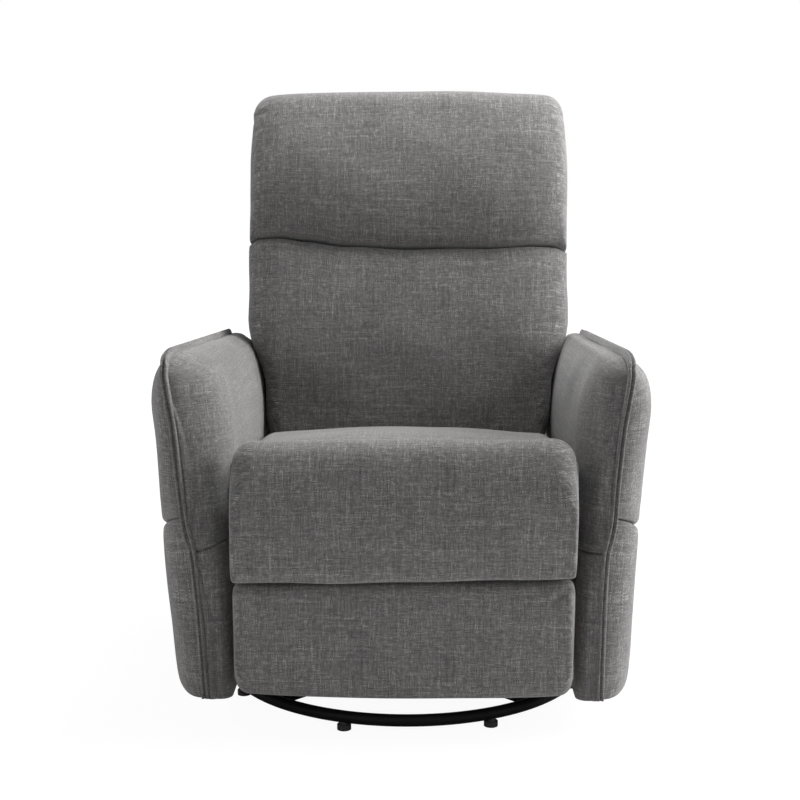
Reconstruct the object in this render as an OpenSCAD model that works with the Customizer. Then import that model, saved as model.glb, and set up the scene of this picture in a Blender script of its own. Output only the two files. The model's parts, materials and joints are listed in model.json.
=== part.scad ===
// Swivel rocker recliner: a ring base, a turntable that rocks on a cross shaft, two upholstered
// arms, and a seat carriage with a scissor footrest and a reclining back.
// The origin is on the swivel axis at floor level, +Z is up and the chair faces -Y.
// Left and right are as seen from the front: left is -X.

/* [Base] */
// Radius of the floor ring, to the middle of its tube
ring_r = 300; // [285:1:303]
// Diameter of the ring's tube
ring_tube_d = 19; // [16:0.5:22]
// Height of the middle of the ring's tube
ring_z = 20; // [18:0.5:22]
// Number of floor glides under the ring
glide_count = 8; // [4:2:12]
// Angle from straight ahead to the first glide
glide_turn = 4.5; // [0:0.5:22]
// Height of the rocker shaft's axis
rock_z = 95; // [92:1:100]

/* [Arms] */
// Half the clear width between the arms
arm_inner = 266; // [264:1:272]
// Front face of the arms
arm_front = -300; // [-305:1:-290]
// Rear face of the arms
arm_rear = 335; // [320:1:345]
// How far the top of an arm falls from front to rear
arm_fall = 26; // [10:1:40]
// Height of the seam between the outer pads, along most of the arm
arm_seam_low = 290; // [280:1:300]
// Height of that seam at the front welt
arm_seam_front = 341; // [300:1:345]

/* [Seat] */
// Half the width of the seat, roll and footrest cushions
cushion_half = 262; // [255:1:263]
// Underside of the front roll
roll_bottom = 252; // [250:1:256]
// Top of the seat boards that carry the cushion
deck_z = 300; // [298:1:302]

/* [Back] */
// Lean of the back from vertical
back_lean = 15; // [12:0.5:18]
// Height of the back's pivots
back_pivot_z = 300; // [295:1:302]
// Distance of the back's pivots behind the swivel axis
back_pivot_y = 195; // [190:1:198]
// Distance along the back from its pivot to the tuck between its two cushions
tuck_at = 425; // [405:1:440]
// Distance along the back from its pivot to its top
back_top = 740; // [715:1:745]

/* [Footrest links] */
// Height of the drive tube
drive_z = 235.2; // [235:0.1:236]
// Distance of the drive tube ahead of the swivel axis
drive_u = 204.5; // [204:0.1:205]
// Length of the drive links between their pivots
drive_len = 142.3; // [142:0.1:143]
// Direction of the drive links at rest, from straight ahead
drive_rest = -107.4; // [-108:0.1:-107]

/* [Hidden] */

fabric_colour = [0.42, 0.41, 0.42];
steel_colour = [0.30, 0.31, 0.33];
black_colour = [0.06, 0.06, 0.07];
wood_colour = [0.74, 0.60, 0.42];
zinc_colour = [0.70, 0.71, 0.72];

// Radius of the linkage pins and of their riveted heads
pin_r = 4;
head_r = 6.5;
// Running fit between a pin and its bore, on the radius
fit_gap = 0.05;
// Clearance of the two pivots at which each footrest linkage is left open
open_gap = 0.5;

// Swivel
bar_w = 34;
bar_h = 14;
hub_z = ring_z + 8;
hub_side = 172;
race_r = 62;
ball_r = 3.5;
ball_z = hub_z + 12;
race_low_top = ball_z - 1;
race_high_low = ball_z + 1;
tray_z = hub_z + 20;
bolt_r = 8;
ball_count = 36;

// Rocker
tray_top = tray_z + 4;
shaft_r = 8;
ear_x = 42;
ear_t = 6;
plate_low = 128;
plate_top = 132;
spring_x = 62;
spring_y = 92;
spring_r = 17;
spring_wire = 4;
spring_turns = 4;

// Mechanism layers, outward from the middle of the chair
bracket_x = 239;
middle_x = 243;
link_x = 247;
plate_x = 251;
swing_x = 254.5;
rail_x = 258;
sheet_t = 3;
rail_rear = 215;
rail_front = -130;

// Arms
panel_in = 286;
panel_out = 308;
panel_setback = 45;
panel_top = 500;
arm_top = 582;
arm_low = 52;
welt_r = 3.6;

// Pull cup on the sitter's right arm
cup_y = -100;
cup_z = 430;
cup_x = -376.5;
cup_tilt = 4.7;
cup_len = 100;
cup_high = 72;
cup_deep = 34;
cup_wall = 2;
cup_lip = 6;
cup_round = 13;
pin_x = -20;
pin_z = -12;
cable_z = 172;
cable_r = 3;

// Seat carriage
swing_len = 64;
swing_lean = 20;
swing_low_z = 165;
swing_front_y = -55;
swing_rear_y = 130;

// Back layers, measured square to the back from its pivot line
post_in = 205;
post_front = 86;
post_rear = 106;

// Footrest linkage, points as [distance ahead, height]
drive_p = [drive_u, drive_z];
elbow_p = drive_p + drive_len * [cos(drive_rest), sin(drive_rest)];
guide_p = [142.5, 222.5];
guide_e = [100.7, 85.8];
foot_p = [264, 222];
upper_e = [161.3, 68.1];
upper_f = [263.6, 190.4];

// Shapes shared by the soft pieces

function spline(a, b, c, d, t) =
  0.5 * (2 * b + (c - a) * t + (2 * a - 5 * b + 4 * c - d) * t * t
         + (3 * b - a - 3 * c + d) * t * t * t);

// A closed outline rounded through its points, steps points to each side
function round_loop(p, steps) = let (n = len(p))
  [for (i = [0 : n - 1], j = [0 : steps - 1])
     spline(p[(i + n - 1) % n], p[i], p[(i + 1) % n], p[(i + 2) % n], j / steps)];

function clamp(v, low, high) = min(high, max(low, v));
function middle(r) = [for (k = [0 : 2]) let (v = [for (p = r) p[k]]) (min(v) + max(v)) / 2];

// One closed mesh through rings of equal count, with a fan of triangles at each end
module loft(rings) {
  n = len(rings[0]);
  m = len(rings);
  points = concat([for (r = rings) each r], [middle(rings[0]), middle(rings[m - 1])]);
  walls = [for (i = [0 : m - 2], j = [0 : n - 1]) let (a = i * n + j, b = i * n + (j + 1) % n)
             each [[a, b, b + n], [a, b + n, a + n]]];
  start = [for (j = [0 : n - 1]) [m * n, (j + 1) % n, j]];
  end = [for (j = [0 : n - 1]) [m * n + 1, (m - 1) * n + j, (m - 1) * n + (j + 1) % n]];
  polyhedron(points = points, faces = concat(walls, start, end), convexity = 8);
}

// How far the outline is drawn in at x, for ends that round off over the last edge of the half width
function end_draw(x, half, edge) = let (q = clamp((abs(x) - half + edge) / edge, 0, 1))
  edge * (1 - sqrt(1 - q * q));
function drawn(p, mid, size, d) = [for (k = [0, 1]) mid[k] + (p[k] - mid[k]) * (1 - 2 * d / size[k])];
function low_of(p) = [for (k = [0, 1]) min([for (q = p) q[k]])];
function high_of(p) = [for (k = [0, 1]) max([for (q = p) q[k]])];

// Rings of a cushion whose outline lies in the Y-Z plane and which runs across the chair.
// halves lists the half width at each outline point, and the top falls by crown to each end.
function cushion_rings(outline, halves, edge, crown, stations) =
  let (low = low_of(outline), high = high_of(outline), mid = (low + high) / 2, size = high - low)
  [for (i = [0 : stations - 1])
    let (f = sin(-90 + 180 * i / (stations - 1)), d = end_draw(f * max(halves), max(halves), edge))
    [for (k = [0 : len(outline) - 1])
      let (p = drawn(outline[k], mid, size, d), up = clamp((p[1] - mid[1]) / (size[1] / 2), 0, 1))
      [f * halves[k], p[0], p[1] - crown * f * f * up]]];

// Points round a tube at p; a and b are unit vectors square to its run
function tube_ring(p, a, b, r, n) =
  [for (k = [0 : n - 1]) p + r * (cos(360 * k / n) * a + sin(360 * k / n) * b)];
function unit(v) = v / norm(v);

// A tube through points; each point has its own outward direction
module tube(path, outs, r, n) {
  last = len(path) - 1;
  loft([for (i = [0 : last])
    let (t = unit(path[min(last, i + 1)] - path[max(0, i - 1)]),
         side = unit(cross(t, outs[i])), out = cross(side, t))
    tube_ring(path[i], side, out, r, n)]);
}

module mirrored(left) {
  if (left) mirror([1, 0, 0]) children();
  else children();
}

module both_sides() {
  children();
  mirror([1, 0, 0]) children();
}

// Base

module ring_tube(extra) {
  translate([0, 0, ring_z]) rotate_extrude($fn = 96)
    translate([ring_r, 0]) circle(d = ring_tube_d + extra, $fn = 32);
}

module base_ring() { color(black_colour) ring_tube(0); }

// Two flat tubes cross under the hub and are coped to the ring
module base_cross_bars() {
  color(black_colour) difference() {
    translate([0, 0, hub_z - bar_h]) linear_extrude(bar_h) for (a = [45, 135])
      rotate(a) square([2 * ring_r, bar_w], center = true);
    ring_tube(0.1);
    translate([0, 0, hub_z - bar_h - 1]) cylinder(r = 16, h = bar_h + 2, $fn = 48);
  }
}

module base_hub_plate() {
  color(black_colour) translate([0, 0, hub_z]) difference() {
    translate([-hub_side / 2, -hub_side / 2, 0]) cube([hub_side, hub_side, 4]);
    translate([0, 0, -1]) cylinder(r = bolt_r, h = 6, $fn = 48);
  }
}

module floor_glides() {
  glide_r = 11;
  color(black_colour) for (i = [0 : glide_count - 1])
    rotate(-90 + glide_turn + 360 / glide_count * (i + 0.5)) translate([ring_r, 0, 0]) difference() {
      union() {
        cylinder(r = glide_r, h = 8, $fn = 40);
        translate([0, 0, 8]) cylinder(r = 7, h = 8, $fn = 40);
      }
      translate([-ring_r, 0, 0]) ring_tube(0.1);
    }
}

// Half of the ball race, with the groove cut in its face
module race(low, high) {
  rotate_extrude($fn = 96) difference() {
    translate([race_r - 12, low]) square([24, high - low]);
    translate([race_r, ball_z]) circle(r = ball_r + fit_gap, $fn = 32);
  }
}

module swivel_lower_race() { color(steel_colour) race(hub_z + 4, race_low_top); }

module swivel_balls() {
  color(zinc_colour) for (i = [0 : ball_count - 1]) rotate(360 / ball_count * i)
    translate([race_r, 0, ball_z]) sphere(r = ball_r, $fn = 24);
}

module swivel_pivot_bolt() {
  color(zinc_colour) {
    translate([0, 0, hub_z - 8]) cylinder(r = 14, h = 8, $fn = 48);
    translate([0, 0, hub_z]) cylinder(r = bolt_r, h = 36, $fn = 48);
  }
}

module swivel_lock_nut() {
  color(zinc_colour) translate([0, 0, tray_top + 0.4]) difference() {
    cylinder(r = 14, h = 9, $fn = 6);
    translate([0, 0, -1]) cylinder(r = bolt_r, h = 11, $fn = 48);
  }
}

// Turntable and rocker

module swivel_upper_race() { color(steel_colour) race(race_high_low, tray_z); }

// Spring tray with two ears that hold the rocker shaft
module rocker_yoke() {
  color(black_colour) {
    difference() {
      translate([-88, -120, tray_z]) cube([176, 240, 4]);
      translate([0, 0, tray_z - 1]) cylinder(r = bolt_r + fit_gap, h = 6, $fn = 48);
    }
    both_sides() translate([ear_x, 0, 0]) difference() {
      union() {
        translate([0, -28, tray_top]) cube([ear_t, 56, rock_z - tray_top]);
        translate([0, 0, rock_z]) rotate([0, 90, 0]) cylinder(r = 19, h = ear_t, $fn = 48);
      }
      translate([-1, 0, rock_z]) rotate([0, 90, 0]) cylinder(r = shaft_r, h = ear_t + 2, $fn = 48);
    }
  }
}

module rocker_shaft() {
  half = ear_x + ear_t + 5;
  color(zinc_colour) translate([-half, 0, rock_z]) rotate([0, 90, 0])
    cylinder(r = shaft_r, h = 2 * half, $fn = 48);
}

spring_low = tray_top;
spring_high = plate_low;
spring_span = spring_high - spring_low - 4 * spring_wire;
function coil_out(k) = [cos(45 * k), sin(45 * k), 0];
function coil_point(k) =
  spring_r * coil_out(k) + [0, 0, spring_low + 2 * spring_wire + spring_span * k / (8 * spring_turns)];
coil_steps = 8 * spring_turns;
coil_path = concat(
  [spring_r * coil_out(0) + [0, 0, spring_low], spring_r * coil_out(0) + [0, 0, spring_low + spring_wire]],
  [for (k = [0 : coil_steps]) coil_point(k)],
  [spring_r * coil_out(0) + [0, 0, spring_high - spring_wire],
   spring_r * coil_out(0) + [0, 0, spring_high]]);
coil_outs = concat([coil_out(0), coil_out(0)], [for (k = [0 : coil_steps]) coil_out(k)],
  [coil_out(0), coil_out(0)]);
// Least gap of a spring to itself: between points most of a turn apart along the wire
coil_gap = min([for (i = [0 : len(coil_path) - 1], j = [0 : len(coil_path) - 1])
  if (j - i >= 5) norm(coil_path[j] - coil_path[i])]) - spring_wire;
echo(least_gap_of_spring_to_itself = coil_gap);

module rocker_springs() {
  color(zinc_colour) for (x = [-spring_x, spring_x], y = [-spring_y, spring_y])
    translate([x, y, 0]) tube(coil_path, coil_outs, spring_wire / 2, 6);
}

// Rubber stops: the top plate meets the rear pair at full lean back and the front pair at full lean forward
module rock_bumpers() {
  color(black_colour) for (x = [-30, 30], end = [[-108, 116], [108, 110.5]])
    translate([x, end[0], tray_top]) cylinder(r1 = 12, r2 = 8, h = end[1] - tray_top, $fn = 32);
}

module rocker_top_plate() {
  lug_x = 30;
  lug_t = 8;
  color(black_colour) {
    translate([-120, -120, plate_low]) cube([240, 240, plate_top - plate_low]);
    both_sides() translate([lug_x, 0, 0]) difference() {
      union() {
        translate([0, -20, rock_z]) cube([lug_t, 40, plate_low - rock_z]);
        translate([0, 0, rock_z]) rotate([0, 90, 0]) cylinder(r = 20, h = lug_t, $fn = 48);
      }
      translate([-1, 0, rock_z]) rotate([0, 90, 0]) cylinder(r = 12, h = lug_t + 2, $fn = 48);
    }
  }
}

module rocker_bushes() {
  color([0.85, 0.84, 0.80]) both_sides() translate([28, 0, rock_z]) rotate([0, 90, 0]) difference() {
    union() {
      cylinder(r = 12, h = 10, $fn = 48);
      translate([0, 0, 10]) cylinder(r = 15, h = 2, $fn = 48);
    }
    translate([0, 0, -1]) cylinder(r = shaft_r + fit_gap, h = 14, $fn = 48);
  }
}

// Chair box

module mechanism_cross_rails() {
  color(steel_colour) for (y = [-68, 84]) difference() {
    translate([-248, y, plate_top]) cube([496, 28, 28]);
    translate([-249, y + 2, plate_top + 2]) cube([498, 24, 24]);
  }
}

module mechanism_rail(left) {
  studs = [swing_front_y, swing_rear_y];
  color(steel_colour) mirrored(left) {
    difference() {
      translate([rail_x, rail_front, plate_top - 3]) cube([3, rail_rear - rail_front, 56]);
      translate([rail_x - 1, cup_y, cable_z]) rotate([0, 90, 0])
        cylinder(r = cable_r + 0.3, h = 5, $fn = 32);
    }
    translate([225, -72, plate_top - 3]) cube([rail_x - 225, rail_rear + 72, 3]);
    for (y = studs) {
      boss([-y, swing_low_z], pin_r, swing_x - 0.4, rail_x - swing_x + 1.4);
      boss([-y, swing_low_z], head_r, swing_x - 0.45, 0.35);
    }
  }
}

module mechanism_rail_left() { mechanism_rail(true); }
module mechanism_rail_right() { mechanism_rail(false); }

// How far a point of an arm falls at y, and the height of the outer seam there
function arm_drop(y, z) = arm_fall * (y - arm_front) / (arm_rear - arm_front)
  * max(0, (z - 340) / (arm_top - 340));
function arm_seam(y) = arm_seam_low
  + (arm_seam_front - arm_seam_low) * pow(1 - clamp((y - arm_front) / 200, 0, 1), 2);

// Plywood side, with the ledger that the mechanism rail bolts to
module arm_panel(left) {
  front = arm_front + panel_setback;
  rear = arm_rear - 15;
  low = arm_low + 5;
  color(wood_colour) difference() {
    mirrored(left) {
      translate([panel_in + 0.5, 0, 0]) rotate([90, 0, 90])
        linear_extrude(panel_out - panel_in - 1)
          polygon([[front, low], [rear, low], [rear, panel_top - arm_drop(rear, panel_top)],
                   [front, panel_top - arm_drop(front, panel_top)]]);
      translate([rail_x + 3, rail_front, 126])
        cube([panel_in + 0.5 - rail_x - 3, rail_rear - rail_front, 62]);
    }
    if (left) cable_way();
  }
}

module arm_panel_left() { arm_panel(true); }
module arm_panel_right() { arm_panel(false); }

// Slot and holes for the release cable
module cable_way() {
  reach = cable_r + 1;
  translate([-panel_out - 1, cup_y - reach, cable_z - reach])
    cube([10, 2 * reach, cup_z - cable_z + 2 * reach]);
  translate([-panel_out - 1, cup_y - reach, cable_z - reach]) cube([20, 2 * reach, 16]);
  translate([-panel_out - 1, cup_y, cable_z]) rotate([0, 90, 0]) cylinder(r = reach, h = 60, $fn = 32);
}

// Inner side of an arm: up the seat side, over the top and down the front to the welt
arm_inside = [[arm_inner, arm_low], [arm_inner, 170], [arm_inner, 300], [arm_inner + 1, 436],
  [arm_inner + 5, 490], [arm_inner + 13, 531], [arm_inner + 25, 561], [309, 577.5], [328, 582.5],
  [341, 580.5]];
arm_front_side = [[344, 571], [338.4, 503], [338.3, 502], [330, 400], [319, 300], [313, 180],
  [305.5, arm_low]];
arm_hook_side = [[344, 571], [338.4, 503], [panel_in, 503], [panel_in, 400], [panel_in, 300], [panel_in, 180],
  [panel_in, arm_low]];
// Lowest height of the inner pad beside the ledger
ledger_top = 192;

// The reclined back needs room between the rear ends of the arms: the inner face moves outward there
rear_room = 16;
rear_room_length = 80;
function arm_room(p, y) = rear_room * pow(clamp((y - arm_rear) / rear_room_length + 1, 0, 1), 1.2)
  * clamp((p[1] - 360) / 80, 0, 1) * clamp((345 - p[0]) / 50, 0, 1);

function arm_place(p, y, mid, draw, low) = let (q = mid + (p - mid) * draw,
  z = low > 0 ? 300 + (q[1] - 300) * (300 - low) / (300 - arm_low) : q[1])
  [q[0], y, (q[1] < 300 ? z : q[1]) - arm_drop(y, q[1])];

// Stations along an arm pad: y, share of full size, whether the wood panel is inside, and the
// height that its lower edge is raised to beside the ledger
inner_stations = [[arm_front, 0.965, 0, 0], [arm_front + 3, 0.988, 0, 0], [arm_front + 9, 0.997, 0, 0],
  [arm_front + panel_setback - 2.6, 1, 0, 0], [arm_front + panel_setback - 1.7, 1, 1, 0], [-220, 1, 1, 0],
  [rail_front - 3, 1, 1, 0],
  [rail_front - 1, 1, 1, ledger_top], [-60, 1, 1, ledger_top], [20, 1, 1, ledger_top],
  [100, 1, 1, ledger_top], [rail_rear + 1, 1, 1, ledger_top], [rail_rear + 3, 1, 1, 0], [270, 1, 1, 0],
  [arm_rear - 33, 1, 1, 0], [arm_rear - 14, 1, 1, 0], [arm_rear - 13, 1, 0, 0],
  [arm_rear - 5, 0.98, 0, 0], [arm_rear, 0.92, 0, 0]];

module arm_inner_pad(left) {
  color(fabric_colour) mirrored(left)
    loft([for (s = inner_stations)
      let (near = [for (p = arm_inside) p + [arm_room(p, s[0]), 0]],
           far = s[2] == 1 ? arm_hook_side : arm_front_side)
      [for (p = concat(near, far)) arm_place(p, s[0], [300, 320], s[1], s[3])]]);
}

module arm_inner_pad_left() { arm_inner_pad(true); }
module arm_inner_pad_right() { arm_inner_pad(false); }

// Outer pads start at the welt in front and at the wood panel behind it.
// Each station has y and whether the panel is inside; the bulge grows from the welt.
welt_line = [[arm_low, 305.5], [180, 313], [300, 319], [400, 330], [500, 338], [571, 344]];
outer_upper_front = [[0, 300], [0, 400], [0, 500], [0, 501.5], [0, 571]];
outer_upper_panel = [[panel_out + 0.5, 300], [panel_out + 0.5, 400], [panel_out + 0.5, 501.5],
  [0, 501.5], [0, 571]];
outer_upper_skin = [[352, 577], [365, 572], [378, 556], [384, 528], [384, 498], [379, 450], [374, 385],
  [371, 335], [364, 306], [348, 301]];
outer_lower_front = [[0, arm_low], [0, 180], [0, 292]];
outer_lower_panel = [[panel_out + 0.5, arm_low], [panel_out + 0.5, 180], [panel_out + 0.5, 292]];
outer_lower_skin = [[341, 291], [355, 288], [364, 277], [367, 261], [364, 220], [362, 170], [360, 110],
  [357, 80], [347, 59], [330, 50]];
outer_stations = [[arm_front + 2, 0], [arm_front + 8, 0], [arm_front + 19, 0],
  [arm_front + panel_setback - 1.5, 0], [arm_front + panel_setback - 0.4, 1], [-200, 1], [-130, 1],
  [-50, 1], [30, 1], [110, 1], [190, 1], [250, 1], [290, 1],
  [arm_rear - 14.8, 1], [arm_rear - 14.2, 0], [arm_rear - 2, 0]];

// Share of the full bulge at y: a quarter round at each end
function bulge(y) = let (f = clamp((y - arm_front) / 70, 0, 1), r = clamp((arm_rear - y) / 55, 0, 1))
  sqrt(1 - pow(1 - f, 2)) * sqrt(1 - pow(1 - r, 2));
function upper_z(z, y) = z > 360 ? z : arm_seam(y) + 1 + (z - 300) * (359 - arm_seam(y)) / 60;
function lower_z(z, y) = z < 180 ? z : 180 + (z - 180) * (arm_seam(y) - 181) / 112;

// A point with no place of its own lies just outside the welt
function beside_welt(x, z) = x > 0 ? x : lookup(z, welt_line) + 1;

module arm_outer_pad(left) {
  color(fabric_colour) difference() {
    mirrored(left) loft([for (s = outer_stations)
      let (y = s[0], inside = s[1] == 1 ? outer_upper_panel : outer_upper_front,
           skin = [for (p = outer_upper_skin) [344 + (p[0] - 344) * (0.12 + 0.88 * bulge(y)), p[1]]])
      [for (p = concat(inside, skin)) let (z = upper_z(p[1], y))
        [beside_welt(p[0], z), y, z - arm_drop(y, z)]]]);
    if (left) {
      cup_place() cup_block(0.4);
      cup_place() translate([0, 0, -0.4]) rounded_plate(cup_high + 0.8, cup_len + 0.8, cup_round + 0.4, 20);
      translate([cup_x, cup_y, cup_z]) rotate([0, 90, 0]) cylinder(r = cable_r + 1, h = 80, $fn = 24);
      translate([-panel_out - 12, cup_y - 5, cup_z - 22]) cube([12, 10, 27]);
    }
  }
}

module arm_outer_pad_left() { arm_outer_pad(true); }
module arm_outer_pad_right() { arm_outer_pad(false); }

module arm_lower_pad(left) {
  color(fabric_colour) mirrored(left) loft([for (s = outer_stations)
    let (y = s[0], inside = s[1] == 1 ? outer_lower_panel : outer_lower_front,
         skin = [for (p = outer_lower_skin) [322 + (p[0] - 322) * (0.12 + 0.88 * bulge(y)), p[1]]])
    [for (p = concat(inside, skin)) let (z = lower_z(p[1], y)) [beside_welt(p[0], z), y, z]]]);
}

module arm_lower_pad_left() { arm_lower_pad(true); }
module arm_lower_pad_right() { arm_lower_pad(false); }

// The welt runs up the front face, over the front top corner, back along the top edge and down the rear
function welt_top(y) = [349, y, 580.5 - (arm_fall - 1.2) * (y - arm_front) / (arm_rear - arm_front)];
welt_points = concat([[304, -304.2, 50], [309, -304.2, 130], [314, -304.2, 200], [319, -304.2, 290],
  [327, -304.2, 380], [334, -304.2, 460], [340, -304.2, 520], [344, -304.2, 552], [346, -304.2, 571],
  [348, -300.5, 581.5], [349, -289, 584.5]], [for (y = [-265, -180, -60, 60, 180, 280, 318]) welt_top(y)],
  [[349, 332, 555.6], [348, 338.5, 549], [346, 339.2, 532], [343, 339.2, 505], [338, 339.2, 470],
  [330, 339.2, 395], [319, 339.2, 290], [314, 339.2, 200], [309, 339.2, 130], [304, 339.2, 50]]);
welt_outs = [for (p = welt_points) [0, p[1] - 18, p[2] - 300]];

module arm_welt(left) {
  color(fabric_colour) mirrored(left) tube(welt_points, welt_outs, welt_r, 8);
}

module arm_welt_left() { arm_welt(true); }
module arm_welt_right() { arm_welt(false); }

module rear_panel() {
  color(fabric_colour) translate([-arm_inner, 328, 82]) cube([2 * arm_inner, 16, 203]);
}

// Release

// The cup's frame: local Z points out of the arm, local X up and local Y to the rear
module cup_place() {
  translate([cup_x, cup_y, cup_z]) rotate([0, -90 - cup_tilt, 0]) children();
}

module rounded_plate(a, b, r, h) {
  linear_extrude(h) union() {
    square([a - 2 * r, b], center = true);
    square([a, b - 2 * r], center = true);
    for (x = [-1, 1], y = [-1, 1]) translate([x * (a / 2 - r), y * (b / 2 - r)]) circle(r = r, $fn = 32);
  }
}

module cup_block(extra) {
  translate([0, 0, -cup_deep - extra])
    rounded_plate(cup_high - 2 * cup_lip + 2 * extra, cup_len - 2 * cup_lip + 2 * extra, 9,
                  cup_deep + extra + 12);
}

module release_cup() {
  tall = cup_high - 2 * cup_lip;
  long = cup_len - 2 * cup_lip;
  color(black_colour) cup_place() difference() {
    union() {
      rounded_plate(cup_high, cup_len, cup_round, 2.5);
      translate([0, 0, -cup_deep]) rounded_plate(tall, long, 9, cup_deep + 1);
    }
    translate([0, 0, -cup_deep + cup_wall])
      rounded_plate(tall - 2 * cup_wall, long - 2 * cup_wall, 7, cup_deep + 5);
    translate([pin_x, -cup_len / 2 + 5, pin_z]) rotate([-90, 0, 0])
      cylinder(r = 1.8 + fit_gap, h = cup_len - 10, $fn = 32);
  }
}

// Pull with its own trunnions in the cup's side walls
module release_handle() {
  grip = cup_len - 2 * cup_lip - 2 * cup_wall - 3;
  blade = 24;
  color(black_colour) cup_place() translate([pin_x, -grip / 2, pin_z]) {
    translate([0, -3, 0]) rotate([-90, 0, 0]) cylinder(r = 1.8, h = grip + 6, $fn = 32);
    rotate([-90, 0, 0]) cylinder(r = 4, h = grip, $fn = 32);
    translate([0, 0, -2.5]) cube([blade, grip, 5]);
    translate([blade, 0, 0]) rotate([-90, 0, 0]) cylinder(r = 3.2, h = grip, $fn = 32);
  }
}

cable_start = [cup_x + cup_deep * cos(cup_tilt) + 0.4, cup_y, cup_z + cup_deep * sin(cup_tilt)];
cable_route = [[cable_start[0], cup_y, cup_z], [-330, cup_y, cup_z], [-316, cup_y, cup_z - 2],
  [-307, cup_y, cup_z - 9], [-304, cup_y, cup_z - 22], [-304, cup_y, 320], [-304, cup_y, 220],
  [-304, cup_y, cable_z + 22], [-302, cup_y, cable_z + 8], [-294, cup_y, cable_z], [-280, cup_y, cable_z],
  [-256.5, cup_y, cable_z]];

module release_cable() {
  color(black_colour) tube(cable_route, [for (p = cable_route) [0, -1, 0]], cable_r, 8);
}

// Seat carriage

// Round end of a link about p, from angle a to angle b
function arc(p, r, a, b, n) = [for (k = [0 : n]) let (t = a + (b - a) * k / n) p + r * [cos(t), sin(t)]];
function heading(a, b) = atan2(b[1] - a[1], b[0] - a[0]);

// Outline of a link of half width r through two or three [distance ahead, height] points.
// A link through three turns anticlockwise: round on the outside of its bend, mitred on the inside.
function link_outline(p, r) =
  let (t = heading(p[0], p[1]), last = len(p) - 1, u = heading(p[last - 1], p[last]))
  concat(arc(p[0], r, t + 90, t + 270, 16),
         last == 2 ? arc(p[1], r, t - 90, u - 90, 4) : [],
         arc(p[last], r, u - 90, u + 90, 16),
         last == 2 ? [p[1] + r / cos((u - t) / 2) * [cos((t + u) / 2 + 90), sin((t + u) / 2 + 90)]] : []);

module link_chain(points, w, x) {
  translate([x, 0, 0]) rotate([90, 0, 90]) linear_extrude(sheet_t)
    polygon([for (q = link_outline(points, w / 2)) [-q[0], q[1]]]);
}

module boss(p, r, x, len) {
  translate([x, -p[0], p[1]]) rotate([0, 90, 0]) cylinder(r = r, h = len, $fn = 40);
}

// A stud riveted in the layer at x that carries the next layer inward
module stud_in(p, x) {
  boss(p, pin_r, x - 4.5, 5.5);
  boss(p, head_r, x - 4.9, 0.8);
}

swing_shift = swing_len * [sin(swing_lean), cos(swing_lean)];

// Swing link from the fixed rail up to the seat plate
module swing_link(y, gap) {
  low = [-y, swing_low_z];
  high = [-y - swing_shift[0], swing_low_z + swing_shift[1]];
  color(zinc_colour) both_sides() difference() {
    link_chain([low, high], 20, swing_x);
    boss(low, pin_r + fit_gap, swing_x - 1, 5);
    boss(high, pin_r + gap, swing_x - 1, 5);
  }
}

module front_swing_links() { swing_link(swing_front_y, fit_gap); }
module rear_swing_links() { swing_link(swing_rear_y, 0.3); }

module seat_side_plate(left) {
  low_front = [-swing_front_y - swing_shift[0], swing_low_z + swing_shift[1]];
  low_rear = [-swing_rear_y - swing_shift[0], swing_low_z + swing_shift[1]];
  color(steel_colour) mirrored(left) {
    difference() {
      translate([plate_x, 0, 0]) rotate([90, 0, 90]) linear_extrude(sheet_t)
        polygon([[-228, 214], [-120, 206], [165, 206], [212, 280], [212, 316], [178, 316], [170, deck_z - 1],
                 [-240, deck_z - 1], [-240, 256], [-228, 250]]);
      boss(drive_p, 10 + fit_gap, plate_x - 1, 5);
    }
    for (p = [low_front, low_rear]) {
      boss(p, pin_r, plate_x + 1, swing_x - plate_x + 2.4);
      boss(p, 5.5, swing_x + sheet_t + 0.05, 0.4);
    }
    stud_in(guide_p, plate_x);
    stud_in([-back_pivot_y, back_pivot_z], plate_x);
  }
}

module seat_side_plate_left() { seat_side_plate(true); }
module seat_side_plate_right() { seat_side_plate(false); }

module seat_side_rails() {
  color(wood_colour) both_sides() translate([226, -240, 258]) cube([24.8, 392, deck_z - 258]);
}

module seat_front_rail() {
  color(wood_colour) translate([-250.8, -262, 258]) cube([501.6, 22, deck_z - 258]);
}

module seat_rear_rail() {
  color(wood_colour) translate([-250.8, 152, 258]) cube([501.6, 22, deck_z - 258]);
}

// Zigzag wire in a plane: across is the swing, along is the run, out is the plane's normal
module zigzag(start, along, across, out, run, turns, r) {
  step = run / (4 * turns);
  path = [for (i = [0 : 4 * turns]) start + along * step * i + across * 16 * sin(90 * i)];
  tube(path, [for (p = path) out], r, 4);
}

module seat_springs() {
  color(zinc_colour) for (x = [-165, -55, 55, 165])
    zigzag([x, -240, 292], [0, 1, 0], [1, 0, 0], [0, 0, 1], 392, 8, 1.8);
}

// Seat pad: highest behind the roll, falling to the rear, with a crown across and drawn-in sides
seat_outline = [[-261.5, 309], [-262, 345], [-262.5, 395], [-262, 436], [-252, 452], [-200, 452],
  [-120, 443], [-30, 431], [60, 418], [130, 405], [168, 392], [170, 350], [160, 312], [150, 303.5],
  [60, 302.5], [-80, 302.5], [-200, 302.5], [-254, 303]];

module seat_cushion() {
  outline = round_loop(seat_outline, 2);
  halves = [for (p = outline) cushion_half - (p[1] > 330 && p[1] < 400 ? 3 : 0)];
  color(fabric_colour) loft(cushion_rings(outline, halves, 26, 18, 14));
}

// Front roll: a waterfall edge that hides the front rail
roll_outline = [[-264.5, 256], [-264, 300], [-264, 360], [-264, 425], [-268, 448], [-282, 458], [-304, 456],
  [-325, 441], [-339, 412], [-345.5, 370], [-346.5, 330], [-345, 296], [-339, 270], [-324, 255],
  [-298, roll_bottom], [-275, roll_bottom]];

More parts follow.
